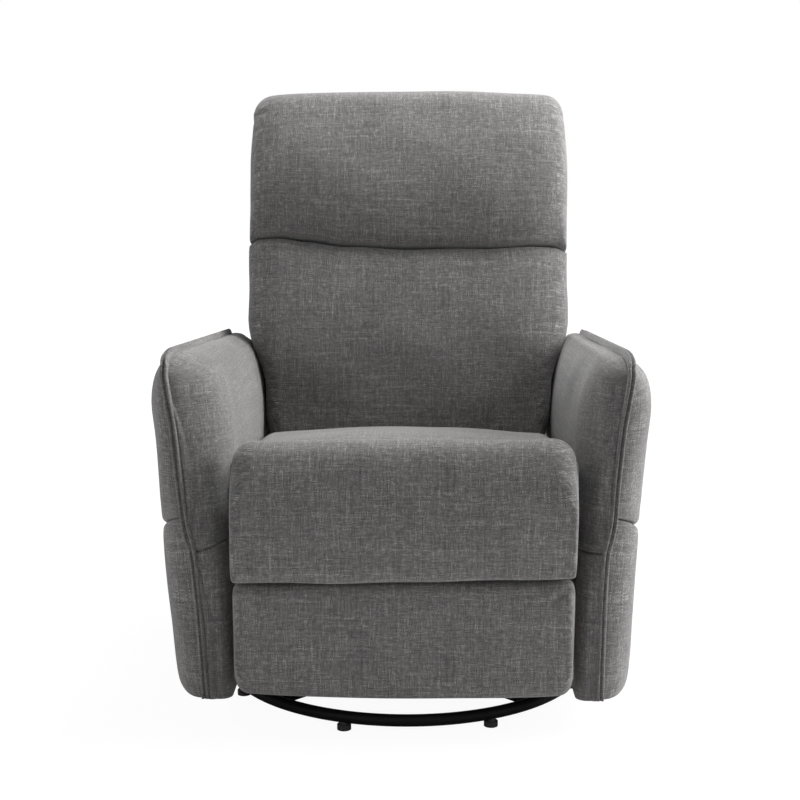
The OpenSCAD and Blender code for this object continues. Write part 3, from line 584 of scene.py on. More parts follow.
def cross_cushion(name, outline, half, edge, puff, spine, count, around, rows, shape=None):
    """A cushion that runs across the chair. Its section outline, a closed curve in y and z, is carried
    along x to the half width less the edge radius, and each end closes with a rounded and puffed cap.
    half(y, z) is the half width and edge(y, z) the radius; spine is the line of the section's middle, two
    points. shape moves the finished points."""
    loop = even_loop(spline_loop(metres(outline), 12), around)
    a, b = metres(spine)
    loop = np.roll(loop, -np.argmin(((loop - (a + (a - b) * 2)) ** 2).sum(1)), 0)
    run = b - a
    middle = a + np.clip(((loop - a) @ run) / (run @ run), 0, 1)[:, None] * run
    radius = edge(*loop.T) + 0 * loop[:, 0]
    rings = np.zeros((count, around, 3))
    rings[:, :, 0] = stations(count)[:, None] * (half(*loop.T) - radius)
    rings[:, :, 1:] = loop
    caps = []
    for sign in (-1, 1):
        line = np.column_stack([sign * (half(*middle.T) - radius), middle])
        caps.append((line, (sign, 0, 0), radius, swell(puff), rows, (0, 1, 0), (0, 0, 1)))
    piece = skin(name, rings, *caps)
    if shape is not None:
        move(piece, shape)
    return piece


def sides_lower(co, half, crown, low, high, power=2):
    """Lets a cushion's top fall by crown toward its sides: by a power of the place across, growing from
    none at height low to all of it at height high."""
    co = co.copy()
    x, _, z = co.T
    z -= crown * np.clip(np.abs(x) / half, 0, 1) ** power * np.clip((z - low) / (high - low), 0, 1)
    return co


def sides_back(co, half, depth):
    """Turns the front of a back cushion away toward its sides: by depth at the sides, as a steep power of
    the place across."""
    co = co.copy()
    x, y, _ = co.T
    y += depth * np.clip(np.abs(x) / half, 0, 1) ** 8 * np.clip((0.04 - y) / 0.10, 0, 1)
    return co


def table(x, places, values):
    """Values between the places by a smooth rise from each to the next."""
    x, places = np.asarray(x, float), np.asarray(places, float)
    k = np.clip(np.searchsorted(places, x) - 1, 0, len(places) - 2)
    t = smooth((x - places[k]) / (places[k + 1] - places[k]))
    values = np.asarray(values, float)
    return values[k] * (1 - t) + values[k + 1] * t


SEAT = [[-261.5, 309], [-262, 345], [-262.5, 395], [-262, 432], [-250, 449], [-200, 453], [-120, 445],
        [-30, 432], [60, 418], [130, 405], [168, 392], [170, 350], [160, 312], [150, 303.5], [60, 302.5],
        [-80, 302.5], [-200, 302.5], [-254, 303]]
ROLL = [[-264.5, 256], [-264, 300], [-264, 360], [-264, 425], [-267, 446], [-280, 457.5], [-300, 458],
        [-322, 446], [-338, 416], [-345.5, 375], [-347.5, 330], [-347, 290], [-345, 263], [-338, 253],
        [-310, 250.5], [-275, 251.5]]
PAD = [[-291, 75], [-291, 130], [-291, 190], [-291, 234], [-296, 242], [-308, 244.5], [-322, 241.5],
       [-329.5, 226], [-331.5, 185], [-332, 140], [-330.5, 98], [-323, 74], [-306, 66], [-296, 68]]
LUMBAR = [[84.5, 52], [79, 43.5], [30, 42], [-18, 44], [-36, 60], [-46, 110], [-56, 180], [-62, 250],
          [-62, 315], [-58, 370], [-52, 403], [-43, 421], [-26, 426], [34, 426], [79, 425.5], [84.5, 416],
          [85, 330], [85, 200], [85, 110]]
HEAD = [[84.5, 438], [79, 429.5], [30, 428], [-20, 427.6], [-44, 428.6], [-59, 436], [-69, 456], [-79, 502],
        [-82, 556], [-76, 616], [-63, 670], [-47, 712], [-21, 734], [20, 741], [58, 740.5], [78, 735],
        [84.5, 724], [85, 640], [85, 530]]
BACK_PIVOT = (0.195, 0.300)

# Gathers at the corners of the roll and of the footrest pad, measured inward from the half width
ROLL_GATHERS = [
    ((-12, -345, 262), (-50, -348, 290), 3.5, 2),
    ((-4, -340, 285), (-26, -347, 330), 5, 1.8),
    ((-2, -330, 400), (-40, -330, 425), 8, 1.6),
    ((-4, -343, 330), (-34, -346, 372), 8, 1.4),
]
PAD_GATHERS = [
    ((-10, -325, 240), (-46, -331, 212), 4, 2),
    ((-30, -320, 243), (-60, -330, 226), 4, 1.4),
    ((-10, -322, 78), (-50, -331, 104), 5, 1.8),
]

# Pulls at the sides of the back's cushions, and the tuck under the head cushion's left top corner, all in
# the back's own axes
LUMBAR_PULLS = [
    ((300, -20, 395), (255, -52, 372), 5.5, 2.8),
    ((300, -20, 360), (262, -56, 352), 6, 2.4),
    ((300, -24, 330), (258, -58, 312), 6, 2.6),
    ((300, -24, 298), (250, -56, 282), 7, 3),
    ((298, -20, 262), (252, -54, 240), 8, 3),
    ((-300, -24, 285), (-262, -55, 272), 7, 2.6),
    ((-300, -20, 255), (-258, -54, 236), 7, 2.4),
    ((-300, -20, 400), (-250, -52, 404), 6, 1.8),
]
HEAD_PULLS = [
    ((-300, -20, 640), (-262, -58, 655), 8, 2.2),
    ((-300, -20, 560), (-250, -70, 548), 10, 1.8),
    ((-300, -30, 500), (-250, -74, 512), 10, 1.8),
    ((300, -20, 690), (268, -52, 676), 8, 2),
    ((300, -20, 600), (262, -64, 590), 9, 1.6),
]
HEAD_TUCK = ((-302, 0, 672), (-266, -52, 690), 5, 6)


def back_half(z):
    """Half width of the back at the distance z along it, in metres: narrow between the arms, wide above."""
    places = [0, 60, 110, 180, 200, 215, 230, 245, 260, 275, 292, 425, 600, 740]
    widths = [250, 250, 263, 265, 270.5, 276, 282.5, 288.5, 293, 296, 298, 299, 298, 291]
    return MM * np.interp(np.asarray(z) / MM, places, widths)


def tuck_rise(x):
    """Rise of the tuck between the back's cushions at x: level in the middle, lifted at the left side."""
    places = [-0.30, -0.281, -0.24, -0.19, -0.11, 0.0, 0.13, 0.24, 0.275, 0.30]
    return table(x, places, [0.012, 0.0205, 0.0205, 0.014, 0.004, 0.0, 0.0, 0.006, 0.006, -0.001])


def to_chair(lean):
    """Carries points from the back's own axes, z up the back and y to its rear, to the chair's."""
    c, s = math.cos(lean), math.sin(lean)

    def place(co):
        x, y, z = co.T
        return np.column_stack([x, BACK_PIVOT[0] + y * c + z * s, BACK_PIVOT[1] - y * s + z * c])

    return place


class RECLINER_OT_seat(bpy.types.Operator):
    """Seat pad, front roll and footrest pad"""

    bl_idname = "recliner.seat"
    bl_label = "Seat and footrest cushions"

    def execute(self, context):
        half = context.scene.recliner_sizes.cushion_half

        seat = cross_cushion(
            "seat_pad", SEAT, lambda y, z: half + 0 * y,
            lambda y, z: 0.012 + 0.022 * smooth((z - 0.36) / 0.07),
            puff=0.004, spine=[[-222, 375], [136, 350]], count=110, around=260, rows=10,
            shape=lambda co: sides_lower(co, half, 0.034, 0.377, 0.452, 2.3),
        )
        press(seat, lambda co: unrest(co, 0.20, 0.0016, 3) * (co[:, 2] > 0.32))
        finish_cloth(seat, "seat", "seat_cushion", fill=0.8)

        def roll_shape(co):
            """Crowned top that rises to the right, foot that slopes alike and sags, and a full belly."""
            co = sides_lower(co, half, 0.006, 0.355, 0.458)
            x, y, z = co.T
            z += 0.005 * smooth((x - 0.08) / 0.16) * smooth((z - 0.36) / 0.09)
            z += 0.0045 * x / half * (smooth((0.32 - z) / 0.05) * smooth((-0.29 - y) / 0.03))
            belly = np.exp(-(((z - 0.345) / 0.07) ** 2)) * smooth((-0.29 - y) / 0.04)
            y -= 0.004 * belly * (1 - (x / half) ** 2)
            sag = smooth((0.29 - z) / 0.04) * smooth((-0.29 - y) / 0.03)
            z -= sag * 0.0016 * np.cos(x / half * np.pi / 2)
            return co

        roll = cross_cushion(
            "front_roll", ROLL, lambda y, z: half - 3.5 * MM - 1 * MM * smooth((0.275 - z) / 0.02),
            lambda y, z: 0.006 + 0.028 * smooth((z - 0.345) / 0.095),
            puff=0.003, spine=[[-305, 290], [-300, 420]], count=130, around=240, rows=9, shape=roll_shape,
        )
        press(roll, lambda co: unrest(co, 0.16, 0.0013, 5) + creases(co, ROLL_GATHERS, half, (-1, 1)))
        finish_cloth(roll, "seat", "seat_front_roll", fill=0.85)

        def pad_shape(co):
            """Top that rises to the right, and a bottom edge that hangs lower in the middle."""
            co = co.copy()
            x, y, z = co.T
            z += 0.0035 * x / half * smooth((z - 0.20) / 0.03)
            low = smooth((0.11 - z) / 0.04) * smooth((-0.295 - y) / 0.01)
            z -= 0.0075 * low * (1 - (x / half) ** 2)
            return co

        pad = cross_cushion(
            "footrest_cushion", PAD, lambda y, z: half - 4.5 * MM + 0 * y,
            lambda y, z: 0.010 + 0.012 * smooth((0.11 - z) / 0.04),
            puff=0.002, spine=[[-311, 92], [-311, 218]], count=110, around=160, rows=7, shape=pad_shape,
        )
        press(pad, lambda co: unrest(co, 0.16, 0.0011, 8) + creases(co, PAD_GATHERS, half, (-1, 1)))
        finish_cloth(pad, "footrest", "footrest_pad", fill=0.8)
        return {"FINISHED"}


class RECLINER_OT_back(bpy.types.Operator):
    """Lumbar cushion, head cushion and the cloth round the back frame"""

    bl_idname = "recliner.back"
    bl_label = "Back cushions"

    def execute(self, context):
        place = to_chair(context.scene.recliner_sizes.back_lean)

        def bent(co):
            """Follows the tuck, less so away from it."""
            co = co.copy()
            x, _, z = co.T
            z += tuck_rise(x) * np.exp(-(((z - 0.427) / 0.075) ** 2))
            return co

        def lumbar_shape(co):
            return sides_back(bent(sides_lower(co, 0.29, 0.002, 0.234, 0.424)), 0.298, 0.022)

        lumbar = cross_cushion(
            "lumbar_pillow", LUMBAR, lambda y, z: back_half(z),
            lambda y, z: table(z, [0.04, 0.10, 0.34, 0.405, 0.425], [0.018, 0.026, 0.024, 0.010, 0.003]),
            puff=0.003, spine=[[20, 90], [16, 380]], count=140, around=280, rows=9, shape=lumbar_shape,
        )
        press(lumbar, lambda co: unrest(co, 0.17, 0.0018, 11) + creases(co, LUMBAR_PULLS))
        move(lumbar, place)
        finish_cloth(lumbar, "back", "lumbar_cushion", fill=0.75)
        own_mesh(lumbar)

        def head_shape(co):
            """Crowned top, rounded sides and a slight ear at the left top corner."""
            co = sides_back(bent(sides_lower(co, 0.29, 0.008, 0.578, 0.728, 3)), 0.298, 0.026)
            x, _, z = co.T
            x -= 0.003 * (smooth((-0.262 - x) / 0.03) * smooth((z - 0.672) / 0.02))
            return co

        head = cross_cushion(
            "head_pillow", HEAD, lambda y, z: back_half(z),
            lambda y, z: table(
                z, [0.428, 0.445, 0.5, 0.66, 0.7, 0.74], [0.003, 0.01, 0.022, 0.022, 0.026, 0.03]
            ),
            puff=0.003, spine=[[8, 480], [8, 670]], count=140, around=280, rows=9, shape=head_shape,
        )

        def head_pulls(co):
            return creases(co, [HEAD_TUCK], soft=0.35) + creases(co, HEAD_PULLS)

        press(head, lambda co: unrest(co, 0.19, 0.0018, 12) + head_pulls(co))
        move(head, place)
        finish_cloth(head, "back", "head_cushion", fill=0.8)

        wrap = back_wrap(place)
        finish_cloth(wrap, "back", "back_rear_cover", pad=False)
        return {"FINISHED"}


def back_wrap(place):
    """Cloth round the back frame: the outline of the back seen square on, carried rearward and closed by a
    rounded rear face."""
    z = np.linspace(24, 712, 60) * MM
    half, round_off = back_half(z) - 3 * MM, 16 * MM
    side = np.column_stack([half, z])
    corner = half[-1] - round_off
    turn = np.linspace(0, np.pi / 2, 8)[1:]
    bend = np.column_stack([corner + round_off * np.cos(turn), z[-1] + round_off * np.sin(turn)])
    upper = np.column_stack([np.linspace(corner, -corner, 60)[1:-1], np.full(58, 728 * MM)])
    right = np.vstack([side, bend])
    left = right[::-1] * [-1, 1]
    base = np.column_stack([np.linspace(-half[0], half[0], 60)[1:-1], np.full(58, z[0])])
    loop = even_loop(np.vstack([right, upper, left, base]), 320)
    start = np.argmin(loop[:, 1] + np.abs(loop[:, 0]) * 0.5)
    loop = np.roll(loop, -start, 0)
    ys = np.linspace(0.0865, 0.108, 8)
    rings = np.insert(np.repeat(loop[None], len(ys), 0), 1, ys[:, None], axis=2)
    caps = []
    for sign, y, edge, puff in ((-1, ys[0], 0.0005, 0.0), (1, ys[-1], 0.012, 0.004)):
        line = np.column_stack([0 * loop[:, 0], np.full(len(loop), y), np.clip(loop[:, 1], 0.24, 0.50)])
        caps.append((line, (0, sign, 0), edge, swell(puff), 26, (1, 0, 0), (0, 0, 1)))
    piece = skin("back_wrap", rings, *caps)
    move(piece, place)
    return piece


# Arms

# Ends, top and foot of the arms, the wood panel in each, and the height of the seam between the outer pads,
# along most of it and at its front end
ARM_FRONT, ARM_REAR, ARM_TOP, ARM_LOW = -0.300, 0.335, 0.582, 0.052
PANEL_IN, PANEL_OUT, PANEL_TOP = 0.286, 0.3085, 0.5015
PANEL_FRONT, PANEL_REAR = -0.2560, 0.3206
SEAM_LOW, SEAM_FRONT = 0.290, 0.341

# Lines of an arm seen from the front, in millimetres: the inner side and top, and the skins of the outer
# pads, by distance from the chair's middle and height, and the welt, by height and distance
INSIDE = [[266, 52], [266, 170], [266, 300], [267, 436], [271, 490], [279, 531], [291, 561], [309, 577],
          [328, 582], [342, 580.5], [346, 575.5]]
WELT_LINE = [[52, 303], [130, 305.5], [210, 308.6], [285, 313], [302, 317.5], [331, 324], [407, 330],
             [484, 337], [530, 342.8], [571, 347.5]]
UPPER_SKIN = [[347.6, 574], [355, 573.5], [366, 566], [377, 549], [383, 524], [384, 496], [379.5, 450],
              [375, 385], [372, 338], [371, 317], [368.5, 306.5], [362, 301.5], [346, 300.5]]
LOWER_SKIN = [[341, 292], [361, 291.7], [367.5, 289.5], [370, 282], [369.5, 262], [366, 215], [362, 165],
              [359, 110], [356, 78], [352, 63], [344, 54], [330, 51.5]]

# Front corner of an inner pad: its radius low down, and what it gains rearward and across at the top
CORNER_LOW, CORNER_LONG, CORNER_WIDE = 0.022, 0.083, 0.050

# Rear corner of an inner pad and the room it leaves the back, how far the top is turned down at its ends,
# the height above which it falls to the rear, and how far the ends of the outer pads are rounded
REAR_CORNER, REAR_ROOM = 0.022, 0.013
TOP_FRONT, TOP_REAR = 0.020, 0.014
FALL_FROM = 0.340
OUTER_FRONT, OUTER_REAR = 0.070, 0.050

# Release cup in the sitter's right arm: middle of its rim's underside, lean, and its body's half height,
# half length, corner radius and depth. The rim stands RIM beyond the body.
CUP_PLACE, CUP_TILT = np.array([-0.3765, -0.100, 0.430]), math.radians(4.7)
CUP_HALF, CUP_ROUND, CUP_DEPTH, RIM = np.array([0.030, 0.044]), 0.009, 0.0345, 0.006

# Room under the rim, how far beyond it the pad is sunk, and the depth of the cloth that is carried along
RIM_GAP, SINK_REACH, CLOTH_DEPTH = 0.0004, 0.036, 0.020

# Side of the chair, lift of the front end of the arm's top, flare at the welt and at the outside, and
# heights of the seam across its front at the inner edge and at the welt
SIDES = {
    "left": (-1, 0.005, 0.009, 0.005, 0.2985, 0.2855),
    "right": (1, 0.002, -0.009, -0.006, 0.283, 0.2865),
}


def quarter(y, front, rear):
    """Share of the turn at each end of an arm: one less the cosine of a quarter round, 0 along the middle
    and 1 at the end. front and rear are how far the turns reach."""
    a = np.clip((ARM_FRONT + front - y) / front, 0, 1)
    b = np.clip((y - ARM_REAR + rear) / rear, 0, 1)
    return 1 - np.sqrt(1 - np.maximum(a, b) ** 2)


def set_arm(points, side, fall):
    """Carries points of the mean arm to their side. The top's two ends are turned down by a quarter round.
    The top falls to the rear by fall, in proportion to the height above FALL_FROM. Its front end is lifted
    by that side's lift, and the outer side moves out by the flares, less at the foot and the rear."""
    sign, lift, flare, outside, _, _ = SIDES[side]
    x, y, z = np.moveaxis(np.asarray(points, float), -1, 0)
    back = (y - ARM_FRONT) / (ARM_REAR - ARM_FRONT)
    end = np.where(back < 0.5, TOP_FRONT, TOP_REAR)
    flare = flare * np.interp(z, [0.055, 0.21, 0.33, 0.40], [0.33, 0.7, 0.85, 1.06])
    flare = flare * (1 - 0.4 * back)
    inward = 0.008 * back * smooth((z - 0.500) / 0.050) * smooth((x - 0.300) / 0.030)
    x = x - inward * (1 - smooth((x - 0.352) / 0.028))
    z = z - end * quarter(y, 0.085, TOP_REAR) * smooth((z - 0.455) / 0.115)
    high = np.maximum(0, (z - FALL_FROM) / (ARM_TOP - FALL_FROM))
    x = x + flare * smooth((x - 0.285) / 0.030) + (outside - flare) * smooth((x - 0.352) / 0.028)
    z = z - high * (fall * back - lift * (1 - back))
    return np.stack([sign * x, y, z], -1)


def arm_seam(y):
    """Height of the seam between the outer pads: level, rising as a square toward the front."""
    return SEAM_LOW + (SEAM_FRONT - SEAM_LOW) * (1 - np.clip((y - ARM_FRONT) / 0.200, 0, 1)) ** 2


def welt_x(z):
    """Distance of the welt from the chair's middle at height z, on the front face."""
    return np.interp(z, *metres(WELT_LINE).T)


def arm_rows(front, rear, steps):
    """Places along an arm with many over its two rounded ends and one on each side of the wood panel's
    edges."""
    angle = np.linspace(0, np.pi / 2, 26)
    edges = [PANEL_FRONT - 0.0003, PANEL_FRONT + 0.0003, PANEL_REAR - 0.0003, PANEL_REAR + 0.0003]
    y = np.r_[ARM_FRONT + front * (1 - np.sin(angle)), ARM_REAR - rear * (1 - np.sin(angle)), edges]
    return np.unique(np.round(np.r_[y, np.linspace(ARM_FRONT + front, ARM_REAR - rear, steps)], 6))


def arm_sections(y, visible, panel, welt):
    """Sections along an arm: its visible side, and back along the wood panel, or the welt beyond it."""
    wood = (y > PANEL_FRONT) & (y < PANEL_REAR)
    hidden = np.where(wood[:, None, None], panel[None], welt[None, ::-1])
    return np.concatenate([visible, hidden], axis=1)


def arm_piece(name, side, fall, y, sections, welt, rows, rise, around_from):
    """Closed pad from its sections along y. Each end closes toward the welt line on that face."""
    rings = np.insert(sections, 1, y[:, None], axis=2)
    targets = np.vstack([welt, welt[::-1]])
    caps = []
    for end, out in ((0, -1), (-1, 1)):
        spine = np.column_stack([targets[:, 0], np.full(len(targets), y[end]), targets[:, 1]])
        caps.append((set_arm(spine, side, fall), (0, out, 0), 0.0, rise, rows, (1, 0, 0), (0, 0, 1)))
    return skin(name, set_arm(rings, side, fall), *caps, around_from)


def arm_inner(name, side, fall):
    """Inner, top and front pad of an arm. Its visible side runs up the seat side and over the top to the
    welt, and turns into the front face by an elliptic corner, small below and broad above. Behind the front
    block it hooks round the wood panel. Its rear end leaves room for the reclined back."""
    seen = spline_path(metres(INSIDE), 16)
    run = lengths(seen)
    at_seam = np.interp(0.291, seen[:60, 1], run[:60])
    places = np.r_[np.linspace(0, run[-1], 150), at_seam + np.linspace(-0.013, 0.013, 38)]
    seen = at_lengths(seen, np.unique(np.round(places, 6)))
    run = lengths(seen)
    start = np.interp(0.400, seen[:110, 1], run[:110])
    share = np.clip((run - start) / (run[-1] - start), 0, 1)
    bend = 1 - 0.173 / (run[-1] - start)
    height = np.where(run < start, seen[:, 1], 0.400 + (run[-1] - start) * (share - bend * share**2))
    height = np.maximum(height, ARM_LOW + 0.003 * smooth((0.075 - height) / 0.02))
    welt = np.column_stack([welt_x(height), height])
    hook = np.array([[0.344, 0.573], [0.344, 0.503], [PANEL_IN, 0.503], [PANEL_IN, ARM_LOW]])
    hook = at_lengths(hook, np.linspace(0, lengths(hook)[-1], len(seen)))
    y = arm_rows(CORNER_LOW + CORNER_LONG, REAR_CORNER, 50)
    high = smooth((seen[:, 1] - 0.120) / 0.340)
    reach = np.linalg.norm(welt - seen, axis=1)
    turned = quarter(y[:, None], (CORNER_LOW + CORNER_LONG * high)[None], REAR_CORNER)
    size = np.where(y[:, None] < 0, (CORNER_LOW + CORNER_WIDE * high)[None], REAR_CORNER)
    share = np.minimum(size, 0.92 * reach[None]) / reach[None] * turned
    visible = seen[None] + (welt - seen)[None] * share[:, :, None]
    near = np.clip((y - ARM_REAR + 0.045) / 0.045, 0, 1)[:, None] ** 1.5
    room = near * np.clip((visible[:, :, 1] - 0.400) / 0.090, 0, 1)
    visible[:, :, 0] += REAR_ROOM * room * np.clip((0.345 - visible[:, :, 0]) / 0.050, 0, 1)
    sections = arm_sections(y, visible, hook, welt)

    def rise(share):
        return 0.0045 * np.sin(np.pi * share) - 0.0015 * share

    piece = arm_piece(name, side, fall, y, sections, welt, 12, rise, ARM_LOW)
    lay_flat(piece)
    return piece


def lay_flat(piece):
    """Cloth coordinates of an arm's inner pad from its own shape: y and z along the inner side, x and z
    across the front and rear faces, y and x over the top, one running into the next."""
    x, y, z = points_of(piece)[0].T
    across = np.abs(x) - 0.266
    ends = (smooth((-0.200 - y) / 0.060) + smooth((y - 0.300) / 0.030)) * smooth((0.570 - z) / 0.030)
    flat = np.column_stack([ends * across - y, z + (1 - ends) * across])
    corners = np.empty(len(piece.data.loops), np.int64)
    piece.data.loops.foreach_get("vertex_index", corners)
    piece.data.uv_layers["weave"].data.foreach_set("uv", flat[corners].astype(np.float32).ravel())


def arm_outer(name, side, fall, upper):
    """Outer pad of an arm: the section of its skin, swelling from the welt by a quarter round at each end,
    with its inner side at the welt in front and at the wood panel behind it."""
    if upper:
        line, low, high = UPPER_SKIN, 0.301, 0.573
        panel = np.array([[PANEL_OUT, 0.300], [PANEL_OUT, PANEL_TOP], [0.3455, PANEL_TOP], [0.3455, 0.573]])
    else:
        line, low, high = LOWER_SKIN, 0.056, 0.291
        panel = np.array([[PANEL_OUT, 0.054], [PANEL_OUT, 0.291]])
    seen = spline_path(metres(line), 16)
    seen = at_lengths(seen, np.linspace(0, lengths(seen)[-1], 180))
    height = np.clip(seen[:, 1], low, high)
    welt = np.column_stack([welt_x(height) + MM, height])
    panel = at_lengths(panel, np.linspace(0, lengths(panel)[-1], len(seen)))
    y = arm_rows(OUTER_FRONT, OUTER_REAR, 54)[1:-1]
    if upper and side == "left":
        near = np.linspace(-0.024, 0.010, 27)
        y = np.unique(np.r_[y, CUP_PLACE[1] - CUP_HALF[1] - near, CUP_PLACE[1] + CUP_HALF[1] + near])
    swollen = np.maximum(1 - quarter(y, OUTER_FRONT, OUTER_REAR), 0.03)
    visible = welt[None] + (seen - welt)[None] * swollen[:, None, None]
    sections = arm_sections(y, visible, panel, welt)
    z, seam = sections[:, :, 1], arm_seam(y)[:, None]
    if upper:
        sections[:, :, 1] = np.where(z > 0.360, z, seam + MM + (z - 0.300) * (0.359 - seam) / 0.060)
    else:
        sections[:, :, 1] = np.where(z < 0.180, z, 0.180 + (z - 0.180) * (seam - 0.181) / 0.112)
    return arm_piece(name, side, fall, y, sections, welt, 2, lambda share: 0 * share, 0.0)


def cup_opening(piece):
    """Sinks a pad round the release cup. By the distance from the cup's rounded body, the surface falls
    gently to the underside of its rim, lies flat under the rim, and drops beside the body to behind it."""
    co, _ = points_of(piece)
    up = np.array([-math.sin(CUP_TILT), 0, math.cos(CUP_TILT)])
    out = np.array([-math.cos(CUP_TILT), 0, -math.sin(CUP_TILT)])
    place = co - CUP_PLACE
    level = place @ out
    beyond = np.abs(np.column_stack([place @ up, place[:, 1]])) - (CUP_HALF - CUP_ROUND)
    gap = np.linalg.norm(np.maximum(beyond, 0), axis=1) + np.minimum(beyond.max(axis=1), 0) - CUP_ROUND
    sunk = np.minimum(level, -RIM_GAP - (CUP_DEPTH + MM) * smooth((RIM - 1.5 * MM - gap) / 0.003))
    share = (1 - smooth((gap - RIM) / SINK_REACH)) * (level > -CLOTH_DEPTH)
    set_points(piece, co + out * ((sunk - level) * share)[:, None])


class RECLINER_OT_arms(bpy.types.Operator):
    """Inner, upper outer and lower outer pads of both arms"""

    bl_idname = "recliner.arms"
    bl_label = "Arm pads"

    def execute(self, context):
        fall = context.scene.recliner_sizes.arm_fall
        for side, (_, _, _, _, inward, outward) in SIDES.items():
            inner = arm_inner("arm_inner_" + side, side, fall)
            press(inner, lambda co: unrest(co, 0.19, 0.0012, 21) + front_seam(co, inward, outward))
            finish_cloth(inner, "chair", "arm_inner_pad_" + side, fill=0.8)
            outer = arm_outer("arm_outer_" + side, side, fall, True)
            press(outer, lambda co: unrest(co, 0.19, 0.0012, 22))
            if side == "left":
                cup_opening(outer)
            finish_cloth(outer, "chair", "arm_outer_pad_" + side, fill=0.7)
            lower = arm_outer("arm_lower_" + side, side, fall, False)
            press(lower, lambda co: unrest(co, 0.19, 0.0010, 23))
            finish_cloth(lower, "chair", "arm_lower_pad_" + side, fill=0.7)
        return {"FINISHED"}


def front_seam(co, inward, outward):
    """Depth of the seam across the arm's front, in line with the footrest's top: a narrow groove with a
    broader dip above it. inward and outward are its heights at the arm's inner edge and at the welt."""
    x, y, z = co.T
    over = z - np.interp(np.abs(x), [0.268, 0.320], [inward, outward])
    groove = 0.0032 * np.exp(-((over / 0.0016) ** 2)) + 0.0016 * np.exp(-(((over - 0.004) / 0.007) ** 2))
    return groove * smooth((-0.262 - y) / 0.012) * (np.abs(x) < 0.336)


# Welts and stitching

WELT_SECTION = [[5.2, -3.5], [5.6, 0.0], [5.5, 2.4], [4.6, 4.1], [3.2, 4.5], [1.8, 3.5], [0.8, 0.6],
                [-0.8, 0.6], [-1.8, 3.5], [-3.2, 4.5], [-4.6, 4.1], [-5.5, 2.4], [-5.6, 0.0], [-5.2, -3.5]]


# Distance of the welt on the arm's top from the chair's middle, and radius of its turns
WELT_TOP_X, WELT_TURN = 0.348, 0.015


def welt_path(side, fall):
    """Run of a welt: up the welt line on the front face, back along the top's edge and down the rear face,
    with small turns between. Both ends and the falling top come from set_arm."""
    z = np.linspace(0.0555, 0.560, 60)
    front = np.column_stack([welt_x(z), np.full(60, ARM_FRONT - 0.0035), z])
    turn = np.linspace(0, np.pi / 2, 9)[1:-1]
    y = ARM_FRONT + 0.0115 - WELT_TURN * np.cos(turn)
    bend = np.column_stack([np.full(7, WELT_TOP_X), y, 0.566 + WELT_TURN * np.sin(turn)])
    front = np.vstack([front, bend])
    y = np.linspace(ARM_FRONT + 0.0125, ARM_REAR - 0.0125, 90)
    top = np.column_stack([np.full(90, WELT_TOP_X), y, np.full(90, 0.5815)])
    rear = front[::-1] * [1, -1, 1] + [0, ARM_FRONT + ARM_REAR, 0]
    points = set_arm(np.vstack([front, top, rear]), side, fall)
    for _ in range(3):
        points[1:-1] = (points[:-2] + 2 * points[1:-1] + points[2:]) / 4
    return at_lengths(points, np.linspace(0, lengths(points)[-1], 640))


def sweep(name, path, outs, profile, tall):
    """A closed section carried along a path, with flat ends. The section's second coordinate points along
    outs, made square to the path, and what lies beyond the path grows by the share tall of each place."""
    side, out, _ = run_frames(path, outs)
    height = np.where(profile[None, :, 1] > 0, profile[None, :, 1] * tall[:, None], profile[None, :, 1])
    rings = path[:, None] + profile[None, :, :1] * side[:, None] + height[:, :, None] * out[:, None]
    m, n = rings.shape[:2]
    index = np.arange(m * n).reshape(m, n)
    quads = faces_round(index).reshape(-1, 4)
    uv = body_uv(np.repeat(lengths(path)[:, None], n, 1), lengths(closed(profile)))
    hubs = np.array([rings[0].mean(0), rings[-1].mean(0)])
    j = np.arange(n)
    a = np.stack([np.full(n, m * n), index[0, (j + 1) % n], index[0, j]], -1)
    b = np.stack([np.full(n, m * n + 1), index[-1, j], index[-1, (j + 1) % n]], -1)
    tris = np.vstack([a, b])
    points = np.vstack([rings.reshape(-1, 3), hubs])
    return mesh_object(name, points, quads, tris, uv.reshape(-1, 4, 2), np.zeros((len(tris), 3, 2)))


def run_frames(path, outs):
    """Unit vectors at each point of a path: to its side, outward and along it."""
    along = unit(np.gradient(path, axis=0))
    side = unit(np.cross(along, outs))
    return side, np.cross(side, along), along


def stitches(name, path, outs, step, size, shift, height):
    """Thread stitches beside each other along a path: short capsules of three rings with pointed ends, each
    lying shift to the path's side and at the given height over it."""
    count = int(lengths(path)[-1] / step)
    s = (np.arange(count) + 0.5) * step
    side, out, along = run_frames(path, outs)
    base = at_lengths(path, s)
    side, out, along = (at_lengths(path, s, v) for v in (side, out, along))
    x = np.array([-1, -0.72, 0, 0.72, 1]) * size[0] / 2
    r = np.array([0.05, 0.85, 1, 0.85, 0.05]) * size[1]
    turn = np.arange(6) * np.pi / 3
    points = base[:, None] + np.repeat(x, 6)[None, :, None] * along[:, None]
    wide, tall = np.outer(r, np.cos(turn)).ravel() + shift, np.outer(r, np.sin(turn)).ravel() * 0.8 + height
    points = points + wide[None, :, None] * side[:, None] + tall[None, :, None] * out[:, None]
    ends = np.array([[0, 1, 2, 3], [0, 3, 4, 5], [27, 26, 25, 24], [29, 28, 27, 24]])
    quads = np.vstack([faces_round(np.arange(30).reshape(5, 6)).reshape(-1, 4), ends])
    faces = (quads[None] + 30 * np.arange(count)[:, None, None]).reshape(-1, 4)
    no_tris = np.zeros((0, 3), int), np.zeros((len(faces), 4, 2)), np.zeros((0, 3, 2))
    return mesh_object(name, points.reshape(-1, 3), faces, *no_tris)


